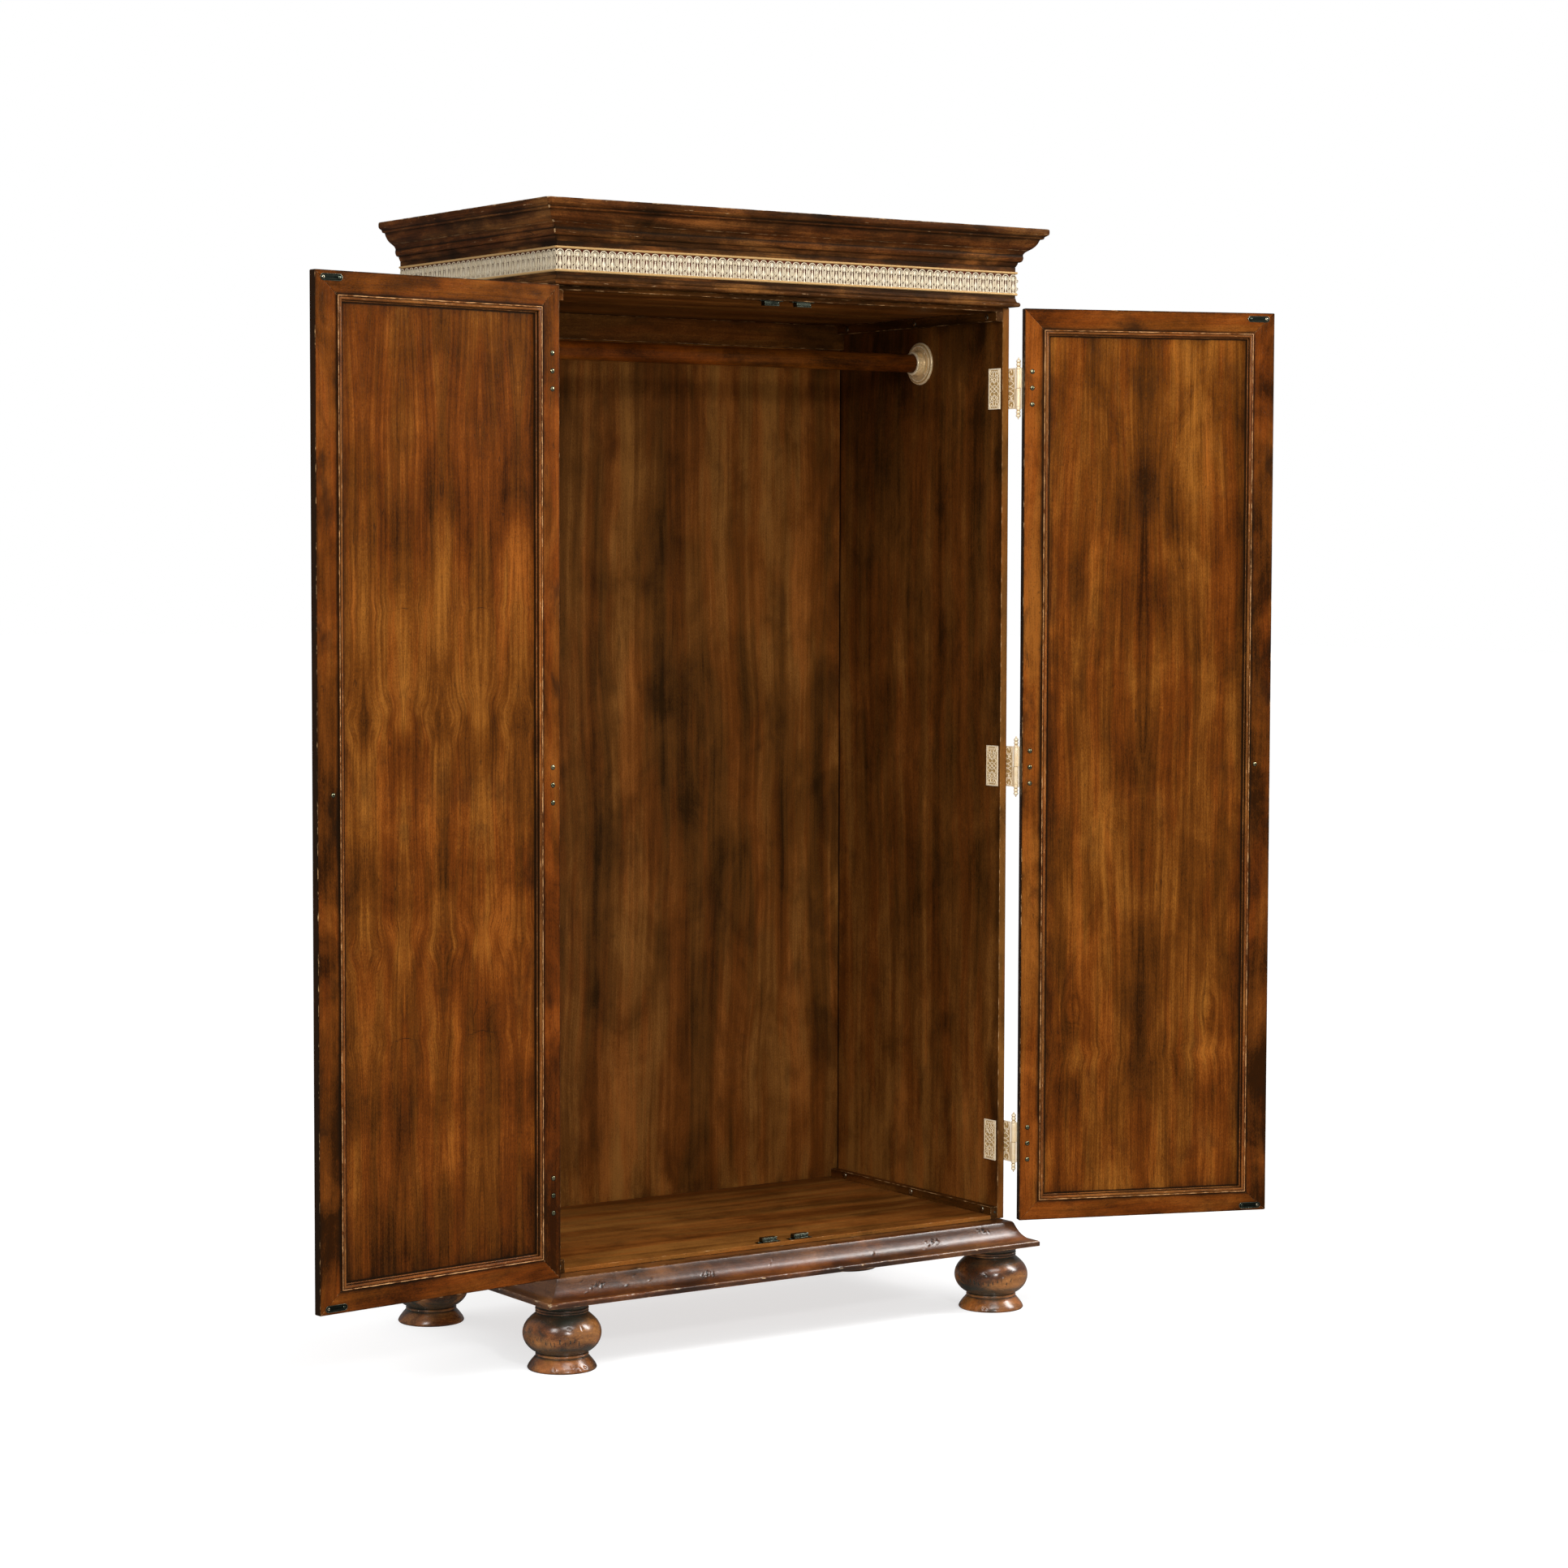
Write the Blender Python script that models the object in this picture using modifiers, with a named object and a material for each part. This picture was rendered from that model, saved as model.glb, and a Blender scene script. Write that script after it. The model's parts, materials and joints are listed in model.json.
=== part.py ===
"""Two-door wardrobe on turned bun feet, with a fretted frieze, a stepped cornice and lift-off door hinges.

Metres, +Z up, front towards -Y. The doors are drawn shut about their hinge axes and then swung open.
"""

from math import cos, pi, radians, sin

import bmesh
import bpy
from mathutils import Matrix, Vector

MM = 0.001

# ---------------------------------------------------------------- driving dimensions, millimetres
HALF_WIDTH = 542.0
DEPTH = 585.0
SIDE_THICK = 16.0
MOULDING_INNER = -45.0  # back of every moulding, measured outward from the side face
FRONT_STEP = 28.4  # the mouldings stand this much further out at the front, over the doors
HEIGHT = 2200.0
GAP = 0.3

BASE_BOTTOM = 130.0
BASE_TOP = 181.3
FLOOR_TOP = 190.1
CEILING = 2036.2
CARCASS_TOP = 2044.3
BACK_THICK = 12.0
CLEAT_WIDE = 16.8
CLEAT_TALL = 25.4
TOP_CLEAT_TALL = 19.5
TOP_RAIL_TALL = 52.0
TOP_RAIL_THICK = 14.0

ASTRAGAL_TOP = 2062.0
FRIEZE_TOP = 2124.0
FRIEZE_FACE = -4.0
FRET_BOTTOM = 2067.4
FRET_TOP = 2115.2

DOOR_BOTTOM = 183.2
DOOR_TOP = 2042.0
DOOR_WIDE = 539.0
DOOR_THICK = 17.5
DOOR_FREE_OF_FRAME = 1.8
HINGE_EDGE = 541.5
HINGE_STILE = 47.0
LOCK_STILE = 52.0
TOP_RAIL = 48.0
BOTTOM_RAIL = 46.0
MOULD_OVER_FRAME = 6.0
PANEL_RECESS = 5.6
PANEL_THICK = 6.0
RIGHT_OPEN_DEG = 160.2
LEFT_OPEN_DEG = 173.4

AXIS_OUT = 4.1
AXIS_FRONT = 26.5
BARREL_R = 5.1
HINGE_HALF = 41.2
LEAF_THICK = 2.7
LEAF_REACH = 38.0
BOLT_R = 2.4
BOLT_PITCH = 27.0
HINGE_HEIGHTS = {"top": 1881.3, "middle": 1114.0, "bottom": 342.8}

FOOT_X = 512.7
FOOT_FRONT = 3.3
FOOT_BACK = 518.5
ROD_R = 19.0
ROD_Y = 281.0
ROD_Z = 1943.0
FLANGE_R = 43.9

CATCH_X = 37.5
STRIKE_HALF_LONG = 23.3
STRIKE_R = 6.2
STRIKE_THICK = 1.0
STRIKE_LOW = 194.6
STRIKE_HIGH = 2028.6
KNOB_FROM_HINGE_EDGE = 505.5
KNOB_Z = 1114.7

# Middle of the carcass in the frame whose origin is under the middle of the open wardrobe
BODY_X = 15.16
BODY_Y = -180.07

# Mouldings as (outward from the side face, height) outlines
BASE_PROFILE = [
    (MOULDING_INNER, BASE_BOTTOM), (39.9, BASE_BOTTOM), (40.9, 131.4), (40.9, 135.6), (40.2, 138.6), (38.6, 140.6),
    (36.5, 141.4), (32.4, 142.0), (28.2, 143.0), (24.3, 144.6), (20.6, 146.9), (16.6, 150.6), (13.0, 155.1),
    (10.1, 159.6), (7.6, 164.6), (5.5, 169.3), (3.9, 174.0), (2.4, 177.4), (1.0, 178.9), (-7, 180.6),
    (-26, BASE_TOP), (MOULDING_INNER, BASE_TOP),
]
ASTRAGAL_PROFILE = [
    (MOULDING_INNER, 2044.6), (1.2, 2044.6), (2.8, 2046.2), (3.6, 2048.8), (3.2, 2051.0), (1.7, 2052.8), (-0.6, 2054.0),
    (-2.3, 2056.4), (-3.3, 2059.4), (-3.6, ASTRAGAL_TOP), (MOULDING_INNER, ASTRAGAL_TOP),
]
FRIEZE_PROFILE = [
    (MOULDING_INNER, ASTRAGAL_TOP + GAP), (FRIEZE_FACE, ASTRAGAL_TOP + GAP), (FRIEZE_FACE, FRIEZE_TOP),
    (MOULDING_INNER, FRIEZE_TOP),
]
CORNICE_PROFILE = [
    (MOULDING_INNER, FRIEZE_TOP + GAP), (-3.9, FRIEZE_TOP + GAP), (-2.6, 2126.6), (-1.0, 2129.4), (0.2, 2133.2),
    (3.6, 2134.4), (5.6, 2136.6), (7.0, 2140.2), (7.2, 2145.6), (6.6, 2148.4), (9.6, 2153.4), (14.9, 2157.5),
    (20.4, 2161.9), (24.4, 2166.0), (27.6, 2171.0), (30.6, 2177.6), (31.4, 2179.2), (36.5, 2180.4),
    (38.6, 2183.8), (42.6, 2187.4), (44.4, 2190.4), (44.8, 2195.2), (44.0, 2199.0), (42.6, HEIGHT),
    (MOULDING_INNER, HEIGHT),
]
FRET_PROFILE = [
    (FRIEZE_FACE + GAP, FRET_BOTTOM), (-0.6, FRET_BOTTOM), (0.5, 2068.6), (0.5, 2071.2), (-0.6, 2072.4),
    (-1.6, 2072.4), (-1.6, 2110.2), (-0.6, 2110.2), (0.5, 2111.4), (0.5, 2114.0), (-0.6, FRET_TOP),
    (FRIEZE_FACE + GAP, FRET_TOP),
]
# Door moulding as (in from its outer edge, out from the face of the frame)
MOULD_PROFILE = [
    (0, GAP), (0.1, 1.9), (1.0, 2.9), (2.3, 2.9), (3.2, 1.7), (4.2, 2.6), (6.0, 3.4), (8.0, 3.1), (9.3, 1.4),
    (9.6, -2.6), (11.8, -3.3), (12.6, -5.3), (MOULD_OVER_FRAME + GAP, -5.3), (MOULD_OVER_FRAME + GAP, GAP),
]
# Turned pieces as (radius, height) from the top down
FOOT_PROFILE = [
    (0, 129.7), (49.0, 129.7), (52.2, 126.0), (52.4, 121.6), (49.6, 118.6), (50.9, 115.6), (50.4, 111.8),
    (48.6, 108.8), (51.4, 105.8), (60.2, 98.2), (68.4, 89.2), (73.6, 79.2), (75.2, 69.0), (73.6, 59.0),
    (68.0, 47.8), (58.6, 38.2), (50.0, 33.4), (48.4, 31.0), (50.8, 28.4), (51.4, 25.4), (56.2, 18.6),
    (62.0, 12.0), (65.4, 6.0), (66.2, 2.6), (63.4, 0), (0, 0),
]
FLANGE_PROFILE = [
    (19.4, 24.0), (23.0, 24.0), (24.4, 22.6), (24.9, 8.4), (27.0, 5.4), (33.4, 5.2), (35.4, 7.2), (38.0, 7.0),
    (39.4, 4.4), (42.4, 4.2), (FLANGE_R, 2.6), (FLANGE_R, 0), (19.4, 0),
]
KNOB_PROFILE = [
    (0, 29.0), (5.6, 28.2), (10.8, 25.2), (13.2, 20.6), (12.4, 15.8), (8.8, 12.0), (5.4, 9.4), (5.6, 6.2),
    (8.6, 4.6), (11.4, 3.0), (12.0, 0), (0, 0),
]
FINIAL_PROFILE = [
    (0, 21.2), (1.4, 19.6), (2.0, 17.0), (4.6, 14.6), (4.9, 12.8), (3.2, 10.8), (4.5, 8.2), (4.4, 5.6),
    (3.0, 3.0), (4.9, 1.4),
]

WOOD = ((0.21, 0.088, 0.032), 0.0, 0.42)
DARK_WOOD = ((0.12, 0.052, 0.024), 0.0, 0.42)
BRASS = ((0.78, 0.60, 0.34), 1.0, 0.34)
BRONZE = ((0.09, 0.10, 0.08), 1.0, 0.45)


# ---------------------------------------------------------------- scene and helpers
def clear_scene():
    for obj in list(bpy.data.objects):
        bpy.data.objects.remove(obj, do_unlink=True)


def new_collection(name):
    collection = bpy.data.collections.new(name)
    bpy.context.scene.collection.children.link(collection)
    return collection


def paint(obj, look):
    color, metallic, roughness = look
    material = bpy.data.materials.new(obj.name)
    material.use_nodes = True
    shader = material.node_tree.nodes["Principled BSDF"]
    shader.inputs["Base Color"].default_value = (*color, 1.0)
    shader.inputs["Metallic"].default_value = metallic
    shader.inputs["Roughness"].default_value = roughness
    obj.data.materials.clear()
    obj.data.materials.append(material)


def mesh_of(bm, name):
    bmesh.ops.recalc_face_normals(bm, faces=bm.faces)
    mesh = bpy.data.meshes.new(name)
    bm.to_mesh(mesh)
    bm.free()
    return mesh


def block(low, high):
    """A box between two corners, in millimetres."""
    bm = bmesh.new()
    low, high = Vector(low), Vector(high)
    size = Matrix.Diagonal((high - low).to_4d())
    place = Matrix.Translation((low + high) / 2)
    bmesh.ops.create_cube(bm, size=1.0, matrix=place @ size)
    return mesh_of(bm, "block")


def loft(rings, closed=False):
    """A skin through equal rings of points, with flat ends unless it runs back to its start."""
    bm = bmesh.new()
    loops = [[bm.verts.new(point) for point in ring] for ring in rings]
    if closed:
        pairs = list(zip(loops, loops[1:] + loops[:1]))
    else:
        pairs = list(zip(loops, loops[1:]))
        bm.faces.new(loops[0])
        bm.faces.new(loops[-1])
    for first, second in pairs:
        for i in range(len(first)):
            j = (i + 1) % len(first)
            bm.faces.new((first[i], first[j], second[j], second[i]))
    return mesh_of(bm, "loft")


def prism(outline, start, end, to_point):
    """An outline carried from one depth to another; to_point places (a, b, depth)."""
    return loft([[to_point(a, b, depth) for a, b in outline] for depth in (start, end)])


def cylinder(radius, start, end, segments):
    """A round bar along Z."""
    bm = bmesh.new()
    place = Matrix.Translation((0, 0, (start + end) / 2))
    bmesh.ops.create_cone(
        bm, cap_ends=True, segments=segments, radius1=radius, radius2=radius, depth=end - start, matrix=place
    )
    return mesh_of(bm, "cylinder")


def moved(mesh, offset=(0, 0, 0), turn=None, mirror=False):
    """A copy of a mesh, turned, shifted and then mirrored to the left side."""
    copy = mesh.copy()
    if turn is not None:
        copy.transform(turn)
    copy.transform(Matrix.Translation(Vector(offset)))
    if mirror:
        copy.transform(Matrix.Diagonal((-1, 1, 1, 1)))
        copy.flip_normals()
    return copy


def place(name, mesh, look, parent, origin=(0, 0, 0), smooth=False, bevel=0.0):
    """Link a millimetre mesh as a piece whose origin is the given point of its parent's frame."""
    mesh = mesh.copy()
    mesh.transform(Matrix.Translation(-Vector(origin)))
    mesh.transform(Matrix.Scale(MM, 4))
    obj = bpy.data.objects.new(name, mesh)
    PARTS.objects.link(obj)
    obj.parent = parent
    obj.location = Vector(origin) * MM
    paint(obj, look)
    if bevel:
        edge = obj.modifiers.new("eased_edges", "BEVEL")
        edge.width = bevel * MM
        edge.segments = 1
        edge.limit_method = "ANGLE"
        edge.angle_limit = radians(40)
    if smooth:
        mesh.shade_smooth()
    return obj


def tool(mesh):
    """A Boolean operand in the cutters collection."""
    obj = bpy.data.objects.new("cutter", mesh)
    CUTTERS.objects.link(obj)
    obj.hide_render = True
    obj.display_type = "WIRE"
    return obj


def combined(mesh, others, operation):
    """The mesh joined with, or cut by, each of the others."""
    base = tool(mesh)
    for other in others:
        step = base.modifiers.new("combine", "BOOLEAN")
        step.operation = operation
        step.solver = "EXACT"
        step.object = tool(other)
    bpy.context.view_layer.update()
    graph = bpy.context.evaluated_depsgraph_get()
    return bpy.data.meshes.new_from_object(base.evaluated_get(graph))


def turned(profile, segments):
    """A solid of revolution about Z from an outer profile, read from the top down."""
    spin = bpy.data.meshes.new("profile")
    points = [(radius, 0, height) for radius, height in profile]
    closed_tube = profile[0][0] > 0
    edges = [(i, i + 1) for i in range(len(points) - 1)]
    if closed_tube:
        edges.append((len(points) - 1, 0))
    spin.from_pydata(points, edges, [])
    base = tool(spin)
    screw = base.modifiers.new("turn", "SCREW")
    screw.steps = segments
    screw.render_steps = segments
    screw.use_merge_vertices = True
    screw.merge_threshold = 0.0001
    bpy.context.view_layer.update()
    graph = bpy.context.evaluated_depsgraph_get()
    bm = bmesh.new()
    bm.from_mesh(base.evaluated_get(graph).to_mesh())
    bmesh.ops.remove_doubles(bm, verts=bm.verts, dist=0.001)
    return mesh_of(bm, "turned")


def stations(out):
    """Where an outline point this far out passes the two back ends and the two front corners."""
    x = HALF_WIDTH + out
    y = -(out + FRONT_STEP)
    return [(-x, DEPTH), (-x, y), (x, y), (x, DEPTH)]


def moulding(profile, first=0, last=3, gap=0.0):
    """A moulding mitred round the wardrobe between two of the four stations."""
    rings = []
    for station in range(first, last + 1):
        ring = []
        for out, height in profile:
            x, y = stations(out)[station]
            if gap and station in (1, 2):
                if last - first == 1 and {first, last} == {1, 2}:
                    x -= gap if x > 0 else -gap
                else:
                    y += gap
            ring.append((x, y, height))
        rings.append(ring)
    return loft(rings)


def inset(outline, amount):
    """A convex outline drawn in by the same amount on every side."""
    middle = sum((Vector(point) for point in outline), Vector((0, 0))) / len(outline)
    lines = []
    for start, end in zip(outline, outline[1:] + outline[:1]):
        along = (Vector(end) - Vector(start)).normalized()
        normal = Vector((-along.y, along.x))
        if normal.dot(middle - Vector(start)) < 0:
            normal = -normal
        lines.append((Vector(start) + normal * amount, along))
    corners = []
    for (point, along), (other, direction) in zip(lines[-1:] + lines[:-1], lines):
        cross = along.x * direction.y - along.y * direction.x
        shift = other - point
        corners.append(point + along * ((shift.x * direction.y - shift.y * direction.x) / cross))
    return [tuple(corner) for corner in corners]


clear_scene()
PARTS = new_collection("wardrobe")
CUTTERS = new_collection("cutters")
CUTTERS.hide_render = True

body = bpy.data.objects.new("carcass_frame", None)
body.location = (BODY_X * MM, BODY_Y * MM, 0)
PARTS.objects.link(body)


# ---------------------------------------------------------------- carcass
inside = HALF_WIDTH - SIDE_THICK
back_face = DEPTH - BACK_THICK
for side, sign in (("left", True), ("right", False)):
    wall = block((inside, 0, BASE_TOP + GAP), (HALF_WIDTH, DEPTH, CARCASS_TOP))
    holes = []
    across = Matrix.Rotation(pi / 2, 4, "Y")
    for height in HINGE_HEIGHTS.values():
        for step in (-1, 0, 1):
            hole = cylinder(BOLT_R + GAP, -20, 20, 8)
            holes.append(moved(hole, (HALF_WIDTH - 8, 25, height + step * BOLT_PITCH), across))
    drilled = moved(combined(wall, holes, "DIFFERENCE"), mirror=sign)
    place(f"side_panel_{side}", drilled, WOOD, body, origin=(0, 0, BASE_TOP))

wide = inside - GAP
narrow = HALF_WIDTH + MOULDING_INNER - GAP
back_outline = [
    (-wide, BASE_TOP + GAP), (wide, BASE_TOP + GAP), (wide, CARCASS_TOP), (narrow, CARCASS_TOP),
    (narrow, HEIGHT - 16 - GAP), (-narrow, HEIGHT - 16 - GAP), (-narrow, CARCASS_TOP), (-wide, CARCASS_TOP),
]
place(
    "back_panel",
    prism(back_outline, back_face, DEPTH, lambda a, b, depth: (a, depth, b)),
    WOOD, body, bevel=0.5,
)
place(
    "back_top_rail",
    block(
        (-inside + GAP, back_face - GAP - TOP_RAIL_THICK, CEILING - TOP_RAIL_TALL),
        (inside - GAP, back_face - GAP, CEILING - GAP),
    ),
    WOOD, body, bevel=0.6,
)
cleat_inner = inside - GAP - CLEAT_WIDE
place(
    "floor_board",
    block(
        (-cleat_inner + GAP, 0, BASE_TOP + GAP),
        (cleat_inner - GAP, back_face - GAP, FLOOR_TOP),
    ),
    WOOD, body, bevel=0.6,
)
place(
    "ceiling_board",
    block((-inside + GAP, 0, CEILING), (inside - GAP, back_face - GAP, CARCASS_TOP)),
    WOOD, body, bevel=0.6,
)
for side, sign in (("left", True), ("right", False)):
    low = block((cleat_inner, 0.2, BASE_TOP + GAP), (inside - GAP, back_face - GAP, BASE_TOP + GAP + CLEAT_TALL))
    place(f"floor_cleat_{side}", moved(low, mirror=sign), DARK_WOOD, body, bevel=0.6)
    high = block(
        (cleat_inner, 0.2, CEILING - GAP - TOP_CLEAT_TALL),
        (inside - GAP, back_face - 2 * GAP - TOP_RAIL_THICK, CEILING - GAP),
    )
    place(f"ceiling_cleat_{side}", moved(high, mirror=sign), DARK_WOOD, body, bevel=0.6)

# ---------------------------------------------------------------- base, feet, frieze and cornice
place("base_moulding", moulding(BASE_PROFILE), DARK_WOOD, body, smooth=False)
place(
    "base_back_rail",
    block(
        (-(HALF_WIDTH + MOULDING_INNER - GAP), DEPTH - 22, BASE_BOTTOM),
        (HALF_WIDTH + MOULDING_INNER - GAP, DEPTH, BASE_TOP),
    ),
    DARK_WOOD, body, bevel=0.6,
)
foot = turned(FOOT_PROFILE, 20)
for name, x, y in (
    ("front_left", -FOOT_X, FOOT_FRONT),
    ("front_right", FOOT_X, FOOT_FRONT),
    ("back_left", -FOOT_X, FOOT_BACK),
    ("back_right", FOOT_X, FOOT_BACK),
):
    place(f"bun_foot_{name}", moved(foot, (x, y, 0)), DARK_WOOD, body, origin=(x, y, 0), smooth=True)

place("astragal", moulding(ASTRAGAL_PROFILE), DARK_WOOD, body)
place("frieze", moulding(FRIEZE_PROFILE), DARK_WOOD, body)
place("cornice", moulding(CORNICE_PROFILE), DARK_WOOD, body)
place(
    "dust_board",
    block(
        (-(HALF_WIDTH + MOULDING_INNER - GAP), -MOULDING_INNER - FRONT_STEP + GAP, HEIGHT - 16),
        (HALF_WIDTH + MOULDING_INNER - GAP, DEPTH, HEIGHT - 8),
    ),
    WOOD, body, bevel=0.5,
)
place("fret_left", moulding(FRET_PROFILE, 0, 1, 0.2), BRASS, body)
place("fret_front", moulding(FRET_PROFILE, 1, 2, 0.2), BRASS, body)
place("fret_right", moulding(FRET_PROFILE, 2, 3, 0.2), BRASS, body)

# ---------------------------------------------------------------- hanging rod
along_x = Matrix.Rotation(pi / 2, 4, "Y")
rod = moved(cylinder(ROD_R, -(inside - 2), inside - 2, 24), (0, ROD_Y, ROD_Z), along_x)
place("hanging_rod", rod, WOOD, body, origin=(0, ROD_Y, ROD_Z), smooth=True)
flange = turned(FLANGE_PROFILE, 24)
towards_left = Matrix.Rotation(-pi / 2, 4, "Y")
for side, sign in (("left", True), ("right", False)):
    socket = moved(flange, (inside - GAP, ROD_Y, ROD_Z), towards_left, sign)
    x = -inside if sign else inside
    place(f"rod_flange_{side}", socket, BRASS, body, origin=(x, ROD_Y, ROD_Z), smooth=True)

# ---------------------------------------------------------------- hinges, about their axis at the origin
leaf_x = (-AXIS_OUT + GAP, -AXIS_OUT + GAP + LEAF_THICK)
side_y = AXIS_FRONT
end_y = side_y + LEAF_REACH
leaf_outline = [
    (end_y, -HINGE_HALF), (end_y, HINGE_HALF), (7.2, HINGE_HALF), (7.2, -0.2), (2.2, -0.2), (2.2, -HINGE_HALF),
]
carcass_plate = prism(leaf_outline, leaf_x[0], leaf_x[1], lambda a, b, depth: (depth, a, b))
finial_up = [(radius, height + HINGE_HALF) for radius, height in FINIAL_PROFILE]
knuckle_up = turned(finial_up + [(BARREL_R, HINGE_HALF), (BARREL_R, 0.2), (0, 0.2)], 12)
knuckle_down = moved(knuckle_up, turn=Matrix.Rotation(pi, 4, "X"))
clamp_x = -AXIS_OUT - SIDE_THICK - GAP
clamp_plate = block(
    (clamp_x - LEAF_THICK, side_y + 6.5, -HINGE_HALF),
    (clamp_x, side_y + 43.5, HINGE_HALF),
)
across = Matrix.Rotation(pi / 2, 4, "Y")
bolts = []
for step in (-1, 0, 1):
    bolt = cylinder(BOLT_R, -(SIDE_THICK / 2 + 1.5), SIDE_THICK / 2 + 1.5, 8)
    bolts.append(moved(bolt, (-AXIS_OUT - SIDE_THICK / 2, side_y + 25, step * BOLT_PITCH), across))
carcass_leaf = combined(carcass_plate, [knuckle_down, clamp_plate] + bolts, "UNION")

door_face = AXIS_FRONT - DOOR_FREE_OF_FRAME - DOOR_THICK
door_leaf_y = (door_face - GAP - LEAF_THICK + 0.2, door_face - GAP)
edge_x = HINGE_EDGE - HALF_WIDTH - AXIS_OUT
door_outline = [
    (edge_x - LEAF_REACH, -HINGE_HALF), (edge_x + 0.2, -HINGE_HALF), (edge_x + 0.2, -0.2), (edge_x + 0.2, 0.2),
    (-0.6, 0.2), (-0.6, HINGE_HALF), (edge_x - LEAF_REACH, HINGE_HALF),
]
door_plate = prism(door_outline, door_leaf_y[0], door_leaf_y[1], lambda a, b, depth: (a, depth, b))
door_leaf = combined(door_plate, [knuckle_up], "UNION")


# ---------------------------------------------------------------- doors, about their axis at the origin
def on_door(u, z, w):
    """A point u from the hinge edge, w out from the inner face, on the shut right door."""
    return (edge_x - u, AXIS_FRONT - DOOR_FREE_OF_FRAME - w, z)


member = dict(
    hinge_stile=[
        (0, DOOR_BOTTOM), (0, DOOR_TOP), (HINGE_STILE, DOOR_TOP - TOP_RAIL), (HINGE_STILE, DOOR_BOTTOM + BOTTOM_RAIL),
    ],
    lock_stile=[
        (DOOR_WIDE, DOOR_BOTTOM), (DOOR_WIDE, DOOR_TOP),
        (DOOR_WIDE - LOCK_STILE, DOOR_TOP - TOP_RAIL), (DOOR_WIDE - LOCK_STILE, DOOR_BOTTOM + BOTTOM_RAIL),
    ],
    top_rail=[
        (0, DOOR_TOP), (DOOR_WIDE, DOOR_TOP),
        (DOOR_WIDE - LOCK_STILE, DOOR_TOP - TOP_RAIL), (HINGE_STILE, DOOR_TOP - TOP_RAIL),
    ],
    bottom_rail=[
        (0, DOOR_BOTTOM), (DOOR_WIDE, DOOR_BOTTOM),
        (DOOR_WIDE - LOCK_STILE, DOOR_BOTTOM + BOTTOM_RAIL), (HINGE_STILE, DOOR_BOTTOM + BOTTOM_RAIL),
    ],
)


def door_moulding():
    left = HINGE_STILE - MOULD_OVER_FRAME
    right = DOOR_WIDE - LOCK_STILE + MOULD_OVER_FRAME
    low = DOOR_BOTTOM + BOTTOM_RAIL - MOULD_OVER_FRAME
    high = DOOR_TOP - TOP_RAIL + MOULD_OVER_FRAME
    rings = []
    for u, z, du, dz in ((left, low, 1, 1), (right, low, -1, 1), (right, high, -1, -1), (left, high, 1, -1)):
        rings.append([on_door(u + du * inward, z + dz * inward, -out) for inward, out in MOULD_PROFILE])
    return loft(rings, closed=True)


def strike_outline(z):
    """A plate with round ends, level with the magnetic catch that it meets."""
    middle = HINGE_EDGE - CATCH_X
    straight = STRIKE_HALF_LONG - STRIKE_R
    outline = []
    for end in (1, -1):
        for step in range(7):
            angle = end * pi / 2 - pi * step / 6 if end == 1 else -pi / 2 - pi * step / 6
            outline.append((middle + end * straight + STRIKE_R * cos(angle), z + STRIKE_R * sin(angle)))
    return outline


def catch_mesh(up):
    """A magnetic catch: a steel-cased magnet on a foot with a screw lug at each end."""
    foot_plate = block((-26.6, 2.4, 0), (26.6, 15.4, 1.4))
    case = block((-17.0, 0.8, 0.7), (17.0, 15.8, 10.6))
    made = combined(foot_plate, [case], "UNION")
    return made if up else moved(made, turn=Matrix.Rotation(pi, 4, "Y"))


for side, sign, angle in (("left", True, -LEFT_OPEN_DEG), ("right", False, RIGHT_OPEN_DEG)):
    x = -(HALF_WIDTH + AXIS_OUT) if sign else HALF_WIDTH + AXIS_OUT
    pivot = bpy.data.objects.new(f"door_{side}_axis", None)
    PARTS.objects.link(pivot)
    pivot.parent = body
    pivot.location = (x * MM, -AXIS_FRONT * MM, 0)
    pivot.rotation_euler = (0, 0, radians(angle))
    for name, outline in member.items():
        piece = prism(inset(outline, GAP / 2), 0, DOOR_THICK, lambda u, z, w: on_door(u, z, w))
        place(f"door_{side}_{name}", moved(piece, mirror=sign), WOOD, pivot, bevel=0.8)
    panel = block(
        on_door(DOOR_WIDE - LOCK_STILE - GAP, DOOR_BOTTOM + BOTTOM_RAIL + GAP, PANEL_RECESS + PANEL_THICK),
        on_door(HINGE_STILE + GAP, DOOR_TOP - TOP_RAIL - GAP, PANEL_RECESS),
    )
    place(f"door_{side}_panel", moved(panel, mirror=sign), WOOD, pivot)
    place(f"door_{side}_moulding", moved(door_moulding(), mirror=sign), WOOD, pivot)
    for level, z in (("top", STRIKE_HIGH), ("bottom", STRIKE_LOW)):
        plate = prism(strike_outline(z), -GAP - STRIKE_THICK, -GAP, lambda u, z, w: on_door(u, z, w))
        place(f"door_{side}_strike_{level}", moved(plate, mirror=sign), BRONZE, pivot)
    knob_at = on_door(KNOB_FROM_HINGE_EDGE, KNOB_Z, DOOR_THICK + GAP)
    knob = moved(turned(KNOB_PROFILE, 16), knob_at, Matrix.Rotation(pi / 2, 4, "X"), sign)
    place(f"door_{side}_knob", knob, BRASS, pivot, smooth=True)
    for level, z in HINGE_HEIGHTS.items():
        place(f"hinge_{side}_{level}_door_leaf", moved(door_leaf, (0, 0, z), mirror=sign), BRASS, pivot)
        held = moved(carcass_leaf, (HALF_WIDTH + AXIS_OUT, -AXIS_FRONT, z), mirror=sign)
        place(f"hinge_{side}_{level}_carcass_leaf", held, BRASS, body, origin=(x, -AXIS_FRONT, z))
    for level, z, up in (("top", CEILING - GAP, False), ("bottom", FLOOR_TOP + GAP, True)):
        catch = moved(catch_mesh(up), (CATCH_X, 0, z), mirror=sign)
        place(f"magnetic_catch_{side}_{level}", catch, BRONZE, body)
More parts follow.
